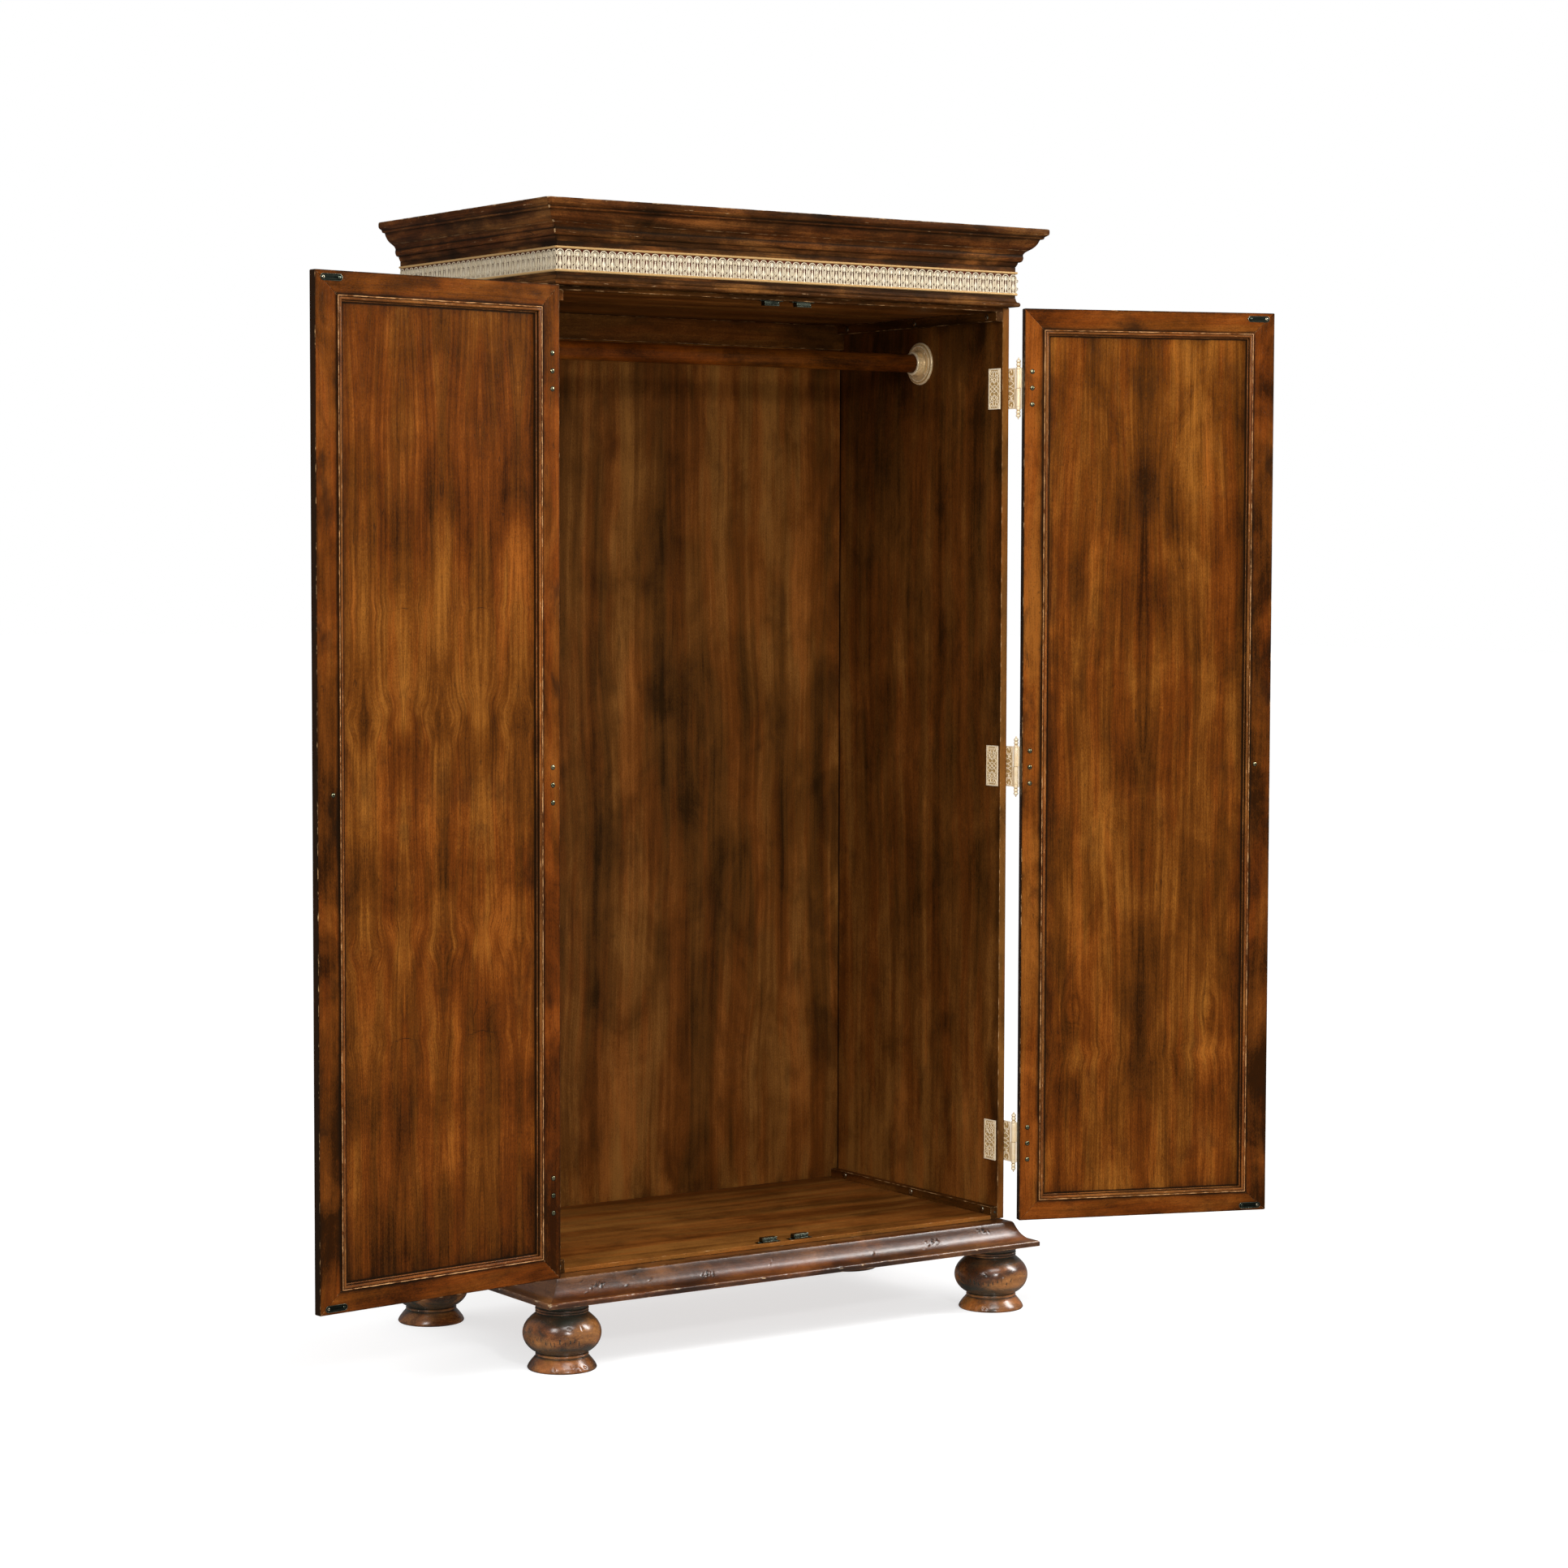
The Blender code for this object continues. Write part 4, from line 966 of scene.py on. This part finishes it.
def member(kind, tone):
    """A mitred stile or rail of the door frame."""
    gap = 0.12
    low, high = DOOR_LOW - 0.15, DOOR_HIGH + 0.15
    wide, upright = WIDTHS[kind], kind.endswith("stile")

    def edges(p):
        """Painted shade on the outer edge of the door and beside the moulding."""
        outer = p[:, 0] if upright else p[:, 2]
        beside = np.clip(1 - (wide - MOULD_OVER - outer) / 8, 0, 1)
        return 1.1 * (outer < 0.9) + 0.5 * np.clip(1 - outer / 7, 0, 1) + beside

    if upright:

        def shape(p):
            u, w, z = p[:, 0], p[:, 1], p[:, 2]
            t = (z - low) / (high - low)
            bottom, top = low + u * BOTTOM_RAIL / wide + gap, high - u * TOP_RAIL / wide - gap
            across = u if kind == "hinge_stile" else DOOR_WIDE - u
            return on_door(np.stack([across, w, bottom + (top - bottom) * t], 1))

        return slab((0.15, 0, low), (wide - 0.15, DOOR_THICK, high), 1.3, 60, wear=0.6, shape=shape,
                    dark=edges, tone=lambda p: tone + np.interp(p[:, 2], (300, 1000, 1600), (-0.2, 0, 0.02)))

    def shape(p):
        u, w, z = p[:, 0], p[:, 1], p[:, 2]
        t = u / DOOR_WIDE
        start, end = z * HINGE_STILE / wide + gap, DOOR_WIDE - z * LOCK_STILE / wide - gap
        level = high - z if kind == "top_rail" else low + z
        return on_door(np.stack([start + (end - start) * t, w, level], 1))

    return slab((0, 0, 0.15), (DOOR_WIDE, DOOR_THICK, wide - 0.15), 1.3, 60, wear=0.6, shape=shape, along="x",
                tone=tone, dark=edges)


# Rows are (in, out, rubbing, glazing). The third column lightens the beads for rubbing and for their painted
# highlights; the fourth darkens the grooves and paints the shade in the step down to the panel.
MOULD_RUNS = [
    [(0.0, 0.2, 0, 1.2), (0.1, 1.8, 0, 0.9), (0.9, 2.9, 0.6, 0.0), (1.7, 3.1, 0.9, 0), (2.5, 2.6, 0.55, 0.2),
     (3.2, 1.7, 0, 1.2)],
    [(3.2, 1.7, 0, 1.2), (4.0, 2.6, 0.1, 0.5), (5.4, 3.4, 0.2, 0), (6.7, 3.5, 0.42, 0), (8.0, 3.0, 0.12, 0),
     (9.2, 1.5, 0, 0.6)],
    [(9.2, 1.5, 0, 1.0), (9.5, -0.6, 0, 1.2), (9.6, -2.6, 0, 1.3)],
    [(9.6, -2.6, 0, 1.2), (10.5, -2.4, 0.15, 0.3), (11.4, -2.8, 0.45, 0), (12.1, -3.8, 0.1, 0.7),
     (12.6, -5.4, 0, 1.2)],
    [(12.6, -5.4, 0, 1), (6.3, -5.4, 0, 1)],
    [(6.3, -5.4, 0, 1), (6.3, 0.2, 0, 1)],
    [(6.3, 0.2, 0, 1), (0, 0.2, 0, 1)],
]
mould_rows = outline(MOULD_RUNS, 0.6)[:-1]


def door_moulding():
    """Four mitred lengths of moulding round the panel."""
    left, right = HINGE_STILE - MOULD_OVER, DOOR_WIDE - LOCK_STILE + MOULD_OVER
    low, high = DOOR_LOW + BOTTOM_RAIL - MOULD_OVER - 0.15, DOOR_HIGH - TOP_RAIL + MOULD_OVER + 0.15
    corners = [(left, low, 1, 1), (right, low, -1, 1), (right, high, -1, -1), (left, high, 1, -1)]
    inward, out, wear, glaze = mould_rows.T
    geo = Geo()
    for i in range(4):
        a, b = corners[i], corners[(i + 1) % 4]
        count = 60 if i % 2 else 24
        rows = []
        for t in np.arange(count + 1) / count:
            u = (a[0] + a[2] * inward) * (1 - t) + (b[0] + b[2] * inward) * t
            z = (a[1] + a[3] * inward) * (1 - t) + (b[1] + b[3] * inward) * t
            rows.append(np.stack([u, -out, z], 1))
        points, faces = grid(on_door(np.array(rows)), wrap_v=True)
        ends = np.repeat(np.isin(np.arange(count + 1), (0, count)), len(mould_rows))
        geo.add(points, faces, wear=np.tile(wear, count + 1),
                glaze=np.maximum(np.tile(glaze, count + 1), 0.15 * ends),
                along="x" if i % 2 == 0 else "z", tone=0.1)
    return geo


def relief(wide, tall, step=0.58):
    """Heights of a bordered plate with scrolls, balls and a lozenge, and how hollow each point is."""
    us, vs = (np.linspace(-size / 2, size / 2, ceil(size / step) + 1) for size in (wide, tall))
    u, v = np.meshgrid(us, vs, indexing="ij")
    a, b = abs(u), abs(v)
    half, reach = wide / 2, tall / 2
    edge = np.minimum(half - a, reach - b)
    height = 0.9 * np.clip(1 - abs(edge - 1.9) / 1.1, 0, 1) ** 0.6
    height = np.maximum(height, np.where(edge < 1.9, 0.55, 0))

    def stroke(line, radius, up=0.95):
        nonlocal height
        line = through(line, 1.2) if len(line) > 2 else np.array(line, float)
        best = np.full(a.shape, 1e9)
        for p, q in zip(line[:-1], line[1:]):
            d = q - p
            t = np.clip(((a - p[0]) * d[0] + (b - p[1]) * d[1]) / max(d @ d, 1e-9), 0, 1)
            best = np.minimum(best, np.hypot(a - p[0] - t * d[0], b - p[1] - t * d[1]))
        height = np.maximum(height, up * np.clip(1.25 - 1.25 * (best / (radius * 1.25)) ** 2, 0, 1) ** 0.8)

    w = half - 4.4
    top = reach - 5.2
    stroke([(w * 0.55 + (0.12 + 0.03 * k) * w * cos(k * 0.55),
             top - 3.4 + (0.12 + 0.03 * k) * w * sin(k * 0.55)) for k in range(14)], 1.0)
    stroke([(0, top), (0.2 * w, top - 2.5), (0.35 * w, top - 7), (0.2 * w, top - 10.5), (0.62 * w, top - 14),
            (0.85 * w, top - 18.5)], 0.95)
    stroke([(0.5 * w, top - 9.4), (0.92 * w, top - 11.5), (0.6 * w, top - 15)], 0.8)
    stroke([(0.08 * w, top - 14), (0.3 * w, top - 18), (0.12 * w, top - 22)], 0.85)
    stroke([(0, 0), (0.5 * w, 4.8), (0.95 * w, 9.8), (0.55 * w, 15.5), (0, 11.6)], 0.95)
    stroke([(0.95 * w, 0), (0.5 * w, 4.2), (0, 8.0)], 0.9)
    stroke([(0.62 * w, 19.0), (0.62 * w, 19.1)], 1.9, 1.2)
    stroke([(0, 0), (0, 0.1)], 2.2, 1.2)
    stroke([(w * 0.95, top), (w * 0.95, top - 0.1)], 1.5, 1.1)
    return us, vs, height, np.clip(1 - height / 0.45, 0, 1)


def plate(geo, wide, tall, thick, to_point, both=False):
    """A plate with relief on its face, and on its back if both; to_point places (across, up, out)."""
    us, vs, height, hollow = relief(wide, tall)
    u, v = np.meshgrid(us, vs, indexing="ij")
    n, m = u.shape
    front = np.stack([u, v, thick - 1.0 + height], -1)
    back = np.stack([u, v, (1.0 - height) if both else 0 * u], -1)
    index = np.arange(n * m).reshape(n, m)
    rim = border(index)
    points, faces = grid(front)
    count = len(points)
    if both:
        more, quads = grid(back)
        faces = faces + [[i + count for i in q] for q in quads]
        lower = [i + count for i in rim]
        hollows = np.concatenate([hollow.ravel(), hollow.ravel()])
    else:
        more = back.reshape(-1, 3)[rim]
        lower = list(range(count, count + len(rim)))
        faces = faces + [lower]
        hollows = np.concatenate([hollow.ravel(), np.zeros(len(rim))])
    for i in range(len(rim)):
        j = (i + 1) % len(rim)
        faces.append([rim[i], rim[j], lower[j], lower[i]])
    points = np.concatenate([points, more])
    geo.add(to_point(points), faces, glaze=hollows * 0.85, wear=np.clip(1 - hollows * 3, 0, 1) * 0.7)


FINIAL_RUNS = [
    [(0, 21.2, 0.5, 0), (0.9, 20.6, 0.6, 0), (1.5, 19.0, 0.6, 0), (1.7, 17.4, 0, 0.5)],
    [(1.7, 17.4, 0, 0.8), (3.6, 16.4, 0.5, 0), (4.7, 14.6, 1, 0), (4.9, 13.0, 0.8, 0), (4.2, 11.4, 0.2, 0.3),
     (3.0, 10.6, 0, 1)],
    [(3.0, 10.6, 0, 1), (3.6, 10.0, 0.4, 0.3), (4.5, 8.4, 0.8, 0), (4.7, 6.6, 0.7, 0), (4.2, 4.8, 0.2, 0.2),
     (3.1, 3.0, 0, 1)],
    [(3.1, 3.0, 0, 1), (3.4, 2.4, 0.2, 0.6), (4.8, 1.9, 0.9, 0), (5.1, 1.0, 0.9, 0), (5.0, 0, 0, 0.6)],
]
finial_rows = outline(FINIAL_RUNS, 0.55)
finial_rows[:, 1] += HINGE_HALF
knuckle_rows = np.vstack([
    finial_rows,
    outline([[(5.0, 41.2, 0, 0.6), (5.1, 40.4, 0.5, 0), (5.1, 38.2, 0.2, 0), (4.8, 37.8, 0, 0.9),
              (5.1, 37.4, 0.5, 0)],
             [(5.1, 37.4, 0.2, 0), (5.1, 1.2, 0.2, 0)], [(5.1, 1.2, 0.5, 0), (4.9, 0.2, 0, 0.9)],
             [(4.9, 0.2, 0, 0.9), (0, 0.2, 0, 0.5)]], 3.0)[1:],
])


def knuckle(geo, up):
    rows = knuckle_rows.copy()
    if not up:
        rows[:, 1] *= -1
    lathe(rows, 28, geo=geo)


BOLT_IN, BOLT_STEP = 16.9, 33
BOLT_HEIGHT = 1.5  # less than SHUT_GAP, so that the heads clear the side panel's edge when the door shuts


def bolt_heads(side, level):
    for k, step in enumerate((BOLT_STEP, 0, -BOLT_STEP)):
        at = on_door(np.array([BOLT_IN, 0.05, HINGE_Z[level] + step]))
        fix(f"door_bolt_{side}_{level}_{k + 1}", at, (0, 1, 0), 4.4, BOLT_HEIGHT, BOLT, f"{side}_door",
            DOOR[side], slot=0.55 if k == 1 else 0.0, cross=True)


KNOB_RUNS = [
    [(0, 29.0, 0.8, 0), (5.6, 28.2, 0.8, 0), (10.8, 25.2, 0.6, 0), (13.2, 20.6, 0.8, 0),
     (12.4, 15.8, 0.2, 0.1), (8.8, 12.0, 0, 0.5), (5.6, 9.8, 0, 1)],
    [(5.6, 9.8, 0, 1), (6.8, 8.8, 0.8, 0), (6.6, 7.4, 0.4, 0.2), (5.6, 6.2, 0, 1)],
    [(5.6, 6.2, 0, 1), (8.6, 4.8, 0.2, 0.2), (11.4, 3.0, 0.8, 0), (12.0, 1.4, 0.7, 0), (12.0, 0, 0, 0.5)],
    [(12.0, 0, 0, 0.5), (0, 0, 0, 0)],
]
knob_rows = outline(KNOB_RUNS, 0.8)
KNOB_IN, STRIKE_IN = 505.5, 504.0
KNOB_Z = (span("door_right_knob")[0].z + span("door_right_knob")[1].z) / 2
panel_low, panel_high = span("door_right_panel")[0].z, span("door_right_panel")[1].z


def strike(z):
    """A steel plate with round ends, a dished middle and a raised rim, on the door's inner face."""
    half, r = 23.3, 6.2
    geo = Geo("x")
    loops = []
    for shrink, lift in ((0, 0.05), (0, 0.8), (0.35, 1.0), (0.8, 1.0), (1.2, 0.6), (3.2, 0.5), (4.6, 0.5)):
        rr = r - shrink
        turns = [(end, end * pi / 2 - pi * k / 10) for end in (1, -1) for k in range(11)]
        loops.append([(STRIKE_IN + end * (half - r) + rr * cos(a), -lift, z + rr * sin(a))
                      for end, a in turns])
    p = on_door(np.array(loops))
    points, faces = grid(p, wrap_v=True)
    n = len(loops[0])
    faces += [list(range(n)), list(range(len(points) - n, len(points)))]
    wear = np.repeat([0, 0.2, 0.9, 0.6, 0, 0, 0], n)
    return geo.add(points, faces, wear=wear, glaze=np.repeat([0.5, 0.3, 0, 0, 0.9, 0.6, 0.75], n))


def catch(geo, up):
    """Half-shell case, pole plates and screw lugs of a magnetic catch, upward from z = 0."""
    f = 1 if up else -1

    def box(low, high, **kw):
        slab(low, high, soft=kw.pop("soft", 0.5), step=12, along="x", geo=geo,
             shape=lambda p: p * [1, 1, f], **kw)

    box((-26.6, 3.0, 0.05), (26.6, 14.8, 1.4), soft=0.4, wear=0.3)
    box((-17.0, 1.6, 1.2), (17.0, 15.8, 8.2), soft=1.6, wear=0.4, shade=0.4, reach=4)
    box((-17.0, 0.9, 8.0), (17.0, 15.2, 10.4), soft=0.8, wear=0.9)
    box((-15.4, 0.8, 2.0), (15.4, 2.4, 3.2), soft=0.4, wear=1.0)
    box((-15.4, 0.8, 6.4), (15.4, 2.4, 7.4), soft=0.4, wear=1.0)
    return geo


VENEER = {
    "right": dict(leaf=220.0, seam=262.0, bands=[(520, 13, 6)], knots=[(147, 612)], seams=[]),
    "left": dict(leaf=86.0, seam=178.0, bands=[(1256, 30, 13), (837, 30, 13), (1443, 14, 4), (665, 16, 5)],
                 knots=[], seams=[1443.0, 665.0]),
}


def folded(side, u):
    """Distance from the nearest seam about which the veneer's leaves mirror each other."""
    leaf = VENEER[side]["leaf"]
    return leaf * abs(((u - VENEER[side]["seam"]) / leaf + 1) % 2 - 1)


def veneer(side):
    """The wood's own coordinates in a panel: mirrored leaves, waves, and grain round the knots."""
    facts = VENEER[side]

    def vein(p):
        u, w, z = p.T
        fold, leaf = folded(side, u), facts["leaf"]
        across = fold.copy()
        for level, tall, sway in facts["bands"]:
            rise = z - level - 5 * np.sin(fold / 11)
            across += sway * np.exp(-((rise / tall) ** 2)) * np.sin(pi * fold / leaf)
            swell = 0.16 * sway * np.exp(-((rise / tall / 2.4) ** 2))
            across += swell * np.sin(rise / 11) * np.sin(2 * pi * fold / leaf)
        for place, level in facts["knots"]:
            dx, dz = fold - place, z - level
            across -= 0.8 * dx * np.exp(-((dx / 21) ** 2) - (dz / 46) ** 2)
        return np.stack([z, across, w + 0.08 * u], 1)

    return vein


def panel_tone(side):
    """Broad golden and dark areas, lighter at mid-height, with the knots' rings."""
    facts = VENEER[side]

    def tone(p):
        u, z = p[:, 0], p[:, 2]
        if side == "left":
            shift = np.interp(z, (230, 420, 800, 1350, 1600, 2000), (-0.26, -0.08, 0.05, 0.05, -0.06, -0.04))
        else:
            shift = np.interp(z, (230, 800, 1350, 2000), (0.08, 0.02, 0.01, 0.06))
            shift = shift - 0.22 * np.exp(-(((u - 262) / 20) ** 2))
        seed = 3.0 if side == "left" else 11.0
        shift += np.array([0.26 * noise.noise(Vector((a / 105, b / 330, seed)))
                           + 0.22 * noise.noise(Vector((a / 34, b / 150, seed)))
                           for a, b in zip(u, z)])
        for place, level in facts["knots"]:
            dx, dz = folded(side, u) - place, (z - level) / 1.9
            r = np.hypot(dx, dz)
            shift += 0.3 * np.exp(-((dx / 24) ** 2) - ((z - level + 98) / 34) ** 2)
            shift += 0.16 * np.exp(-((r / 22) ** 2)) - 0.12 * np.exp(-(((r - 16) / 3.0) ** 2)) * (dz > -14)
            for k in range(3):
                line = z - level + 26 + 9 * k + dx * dx / 90
                shift -= 0.1 * np.exp(-((line / 2.6) ** 2)) * np.clip(1.2 - abs(dx) / 16, 0, 1)
        for level, _, sway in facts["bands"]:
            shift += 0.016 * sway * np.exp(-(((z - level + 20) / 26) ** 2)) * np.sin(folded(side, u) / 7.0)
        return shift

    return tone


def panel_shadow_and_cracks(side):
    """Painted shadow in the corner beside the moulding, and dark glazing in the hair cracks across the
    leaves.
    """

    def dark(p):
        u = np.minimum(p[:, 0] - HINGE_STILE, DOOR_WIDE - LOCK_STILE - p[:, 0])
        v = np.minimum(p[:, 2] - panel_low, panel_high - p[:, 2])
        glaze = 1.1 * np.clip(1 - (np.minimum(u, v) - 6.5) / 4, 0, 1)
        for level in VENEER[side]["seams"]:
            fold = folded(side, p[:, 0])
            curve = level + 2.5 * np.cos(fold / 9.0) - fold * fold / 900
            glaze = np.maximum(glaze, 0.7 * (abs(p[:, 2] - curve) < 0.8) * np.clip(1.1 - fold / 48, 0, 1))
        return glaze

    return dark


def panel_lines(side):
    """Further lines of points at the leaves' seams, the hair cracks and the knots."""
    facts = VENEER[side]
    low, high = HINGE_STILE + 1, DOOR_WIDE - LOCK_STILE - 1
    across = [x for x in (facts["seam"] + facts["leaf"] * k for k in range(-4, 5)) if low < x < high]
    up = [level + d for level in facts["seams"] for d in np.arange(-6.3, 4.4, 0.7)]
    for place, level in facts["knots"]:
        for sign in (-1, 1):
            across += list(np.arange(-30, 31, 2.0) + facts["seam"] + sign * place)
        up += list(np.arange(-60, 51, 2.0) + level)
    return [(0, across), (2, up)]


# Painted light and shade: each door member lighter or darker as the light and its reflection fall on it.
FRAME_PAINTED_LIGHT = {
    "right": {"hinge_stile": 0.33, "lock_stile": -0.26, "top_rail": -0.02, "bottom_rail": 0.0},
    "left": {"hinge_stile": -0.03, "lock_stile": -0.11, "top_rail": -0.1, "bottom_rail": -0.12},
}
PANEL_BACK, PANEL_FRONT = 5.6, 11.6
LEAF_WIDE, CARCASS_LEAF_WIDE, INNER_PLATE_WIDE = 38.0, 57.3, 37.0
INNER_PLATE_X = -AXIS_OUT - 16 - 0.3


def door_part(side, kind, geo, look, aim=Matrix.Identity(4)):
    name = f"door_{side}_{kind}"
    return piece(name, geo, look, f"{side}_door", DOOR[side] @ aim, nodes=name)


def hinge(side, level, z):
    """A door leaf with the upper knuckle, and a carcass leaf with the lower one and the inner plate."""
    outer = DOOR_FACE - DOOR_THICK - 0.3
    leaf = Geo("z")
    plate(leaf, LEAF_WIDE, 2 * HINGE_HALF, 2.5,
          lambda p: np.stack([EDGE_X - LEAF_WIDE / 2 + p[:, 0] + 0.1, outer - p[:, 2], p[:, 1]], 1))
    slab((EDGE_X - 0.4, outer - 2.3, 0.4), (-1.5, outer - 0.1, 40.6), 0.3, 20, geo=leaf, wear=0.4)
    knuckle(leaf, True)
    name = f"hinge_{side}_{level}_door_leaf"
    piece(name, leaf, BRASS, f"{side}_door", DOOR[side] @ Matrix.Translation((0, 0, z)), nodes=name)
    held = Geo("z")
    middle = AXIS_FRONT + 38 - CARCASS_LEAF_WIDE / 2
    plate(held, CARCASS_LEAF_WIDE, 2 * HINGE_HALF, 2.7,
          lambda p: np.stack([-AXIS_OUT + 0.3 + p[:, 2], middle + p[:, 0], p[:, 1]], 1), both=True)
    slab((-3.6, 2.0, -40.8), (-1.3, 8.0, -0.4), 0.3, 20, geo=held, wear=0.4)
    knuckle(held, False)
    plate(held, INNER_PLATE_WIDE, 2 * HINGE_HALF, 2.7,
          lambda p: np.stack([INNER_PLATE_X - p[:, 2], AXIS_FRONT + 25 - p[:, 0], p[:, 1]], 1))
    name = f"hinge_{side}_{level}_carcass_leaf"
    aim = MIRROR[side] @ Matrix.Translation((HALF + AXIS_OUT, -AXIS_FRONT, z))
    piece(name, held, BRASS, "carcass", CARCASS @ aim, nodes=name)


for side in ("right", "left"):
    body, base = f"{side}_door", DOOR[side]
    for kind in WIDTHS:
        door_part(side, kind, member(kind, FRAME_PAINTED_LIGHT[side][kind]), FRAME)
    flat = slab((HINGE_STILE + 0.3, PANEL_BACK, panel_low),
                (DOOR_WIDE - LOCK_STILE - 0.3, PANEL_FRONT, panel_high), 0.5, 9, wear=0, shade=0.5, reach=34,
                dark=panel_shadow_and_cracks(side), shape=on_door, tone=panel_tone(side), vein=veneer(side),
                extra=panel_lines(side))
    door_part(side, "panel", flat, PANEL)
    door_part(side, "moulding", door_moulding(), GILT)
    for level in ("top", "bottom"):
        low, high = span("door_right_strike_" + level)
        z = (low.z + high.z) / 2
        door_part(side, f"strike_{level}", strike(z), BRONZE)
        for k, along in enumerate((-17.1, 17.1)):
            fix(f"door_{side}_strike_{level}_screw_{k + 1}", on_door(np.array([STRIKE_IN + along, -0.5, z])),
                (0, 1, 0), 3.0, 1.0, STEEL if k else BRONZE, body, base, cross=True)
    seat = on_door(np.array([KNOB_IN, DOOR_THICK + 0.2, KNOB_Z]))
    aim = Matrix.Translation(seat) @ Matrix.Rotation(pi / 2, 4, "X")
    door_part(side, "knob", lathe(knob_rows, 48), BRASS, aim)
    fix(f"door_{side}_knob_screw", on_door(np.array([KNOB_IN, 0.05, KNOB_Z])), (0, 1, 0), 4.2, 1.8, BOLT,
        body, base, deep=0.9, cross=True)
    for level, z in HINGE_Z.items():
        bolt_heads(side, level)
        hinge(side, level, z)
    for level, up in (("top", False), ("bottom", True)):
        name = f"magnetic_catch_{side}_{level}"
        low, high = span(name)
        seat = Vector(((low.x + high.x) / 2, 0, low.z if up else high.z))
        piece(name, catch(Geo("x"), up), BRONZE, "carcass", CARCASS @ Matrix.Translation(seat), nodes=name)
        for k, x in enumerate((-22, 22)):
            at = seat + Vector((x, 8.6, 1.4 if up else -1.4))
            fix(f"{name}_screw_{k + 1}", at, (0, 0, 1 if up else -1), 2.7, 1.2, BRONZE, deep=0.7, cross=True)

# ---- floor, light and camera
scene = bpy.context.scene


def flat_floor():
    """A pale floor, slightly luminous so that shadows stay light, and dim in the lacquer's reflections."""
    mesh = bpy.data.meshes.new("floor")
    mesh.from_pydata([(-40, -40, 0), (40, -40, 0), (40, 60, 0), (-40, 60, 0)], [], [(0, 1, 2, 3)])
    obj = bpy.data.objects.new("floor", mesh)
    scene.collection.objects.link(obj)
    t = Tree("floor")
    place = t.nodes.new("ShaderNodeTexCoord").outputs["Object"]
    colour = t.mix(t.noise(place, 0.6, 2.0), (0.40, 0.40, 0.40), (0.43, 0.43, 0.43))
    t.set(Base_Color=colour, Roughness=0.9, Specular_IOR_Level=0.0, Emission_Color=(1, 1, 1, 1),
          Emission_Strength=0.66)
    subdued, blend = t.nodes.new("ShaderNodeBsdfDiffuse"), t.nodes.new("ShaderNodeMixShader")
    subdued.inputs["Color"].default_value = (0.12, 0.12, 0.12, 1)
    t.plug(blend.inputs[0], t.nodes.new("ShaderNodeLightPath").outputs["Is Glossy Ray"])
    t.plug(blend.inputs[1], t.shader.outputs[0])
    t.plug(blend.inputs[2], subdued.outputs[0])
    t.plug(t.nodes["Material Output"].inputs["Surface"], blend.outputs[0])
    mesh.materials.append(t.material)


flat_floor()

world = bpy.data.worlds.new("studio")
scene.world = world
world.use_nodes = True
nodes, links = world.node_tree.nodes, world.node_tree.links
sky = nodes["Background"]
sky.inputs["Color"].default_value = (1, 1, 1, 1)
dim = nodes.new("ShaderNodeMath")
dim.operation = "MULTIPLY_ADD"
dim.inputs[1].default_value, dim.inputs[2].default_value = -0.85, 1.0
links.new(nodes.new("ShaderNodeLightPath").outputs["Is Glossy Ray"], dim.inputs[0])
links.new(dim.outputs[0], sky.inputs["Strength"])


def softbox(name, place, target, wide, tall, power):
    data = bpy.data.lights.new(name, "AREA")
    data.shape, data.size, data.size_y, data.energy = "RECTANGLE", wide, tall, power
    obj = bpy.data.objects.new(name, data)
    obj.location = place
    obj.rotation_euler = (Vector(target) - Vector(place)).to_track_quat("-Z", "Y").to_euler()
    scene.collection.objects.link(obj)


softbox("over_front", (-0.6, -2.9, 4.3), (0, -0.2, 1.0), 2.4, 1.2, 62)
softbox("over_left", (-3.4, -2.0, 3.3), (-0.4, -0.3, 0.6), 0.8, 1.4, 50)
softbox("over_right", (3.3, -2.1, 3.1), (0.4, -0.2, 0.4), 0.9, 1.9, 122)
softbox("front", (-1.5, -5.6, 2.95), (0, 0, 1.1), 0.45, 0.45, 90)

lens = bpy.data.cameras.new("camera")
camera = bpy.data.objects.new("camera", lens)
scene.collection.objects.link(camera)
scene.camera = camera
YAW, PITCH, ROLL = radians(34.25), radians(3.55), radians(0.15)
ahead = Vector((sin(YAW) * cos(PITCH), cos(YAW) * cos(PITCH), -sin(PITCH)))
across = Vector((cos(YAW), -sin(YAW), 0))
above = across.cross(ahead)
right_hand = across * cos(ROLL) + above * sin(ROLL)
up_hand = above * cos(ROLL) - across * sin(ROLL)
turn = Matrix((right_hand, up_hand, -ahead)).transposed().to_4x4()
EYE = Vector((-4.0261, -5.9015, 1.5381))  # from the middle of the carcass front, on the floor
camera.matrix_world = Matrix.Translation(BODY + EYE) @ turn
FRAME_PIXELS, FOCAL_PIXELS = 1932, 4497.5
lens.sensor_width = 36.0
lens.lens = FOCAL_PIXELS / FRAME_PIXELS * lens.sensor_width
lens.clip_start, lens.clip_end = 0.1, 200.0
scene.view_settings.view_transform = "Standard"
scene.view_settings.look = "None"

bpy.context.view_layer.update()
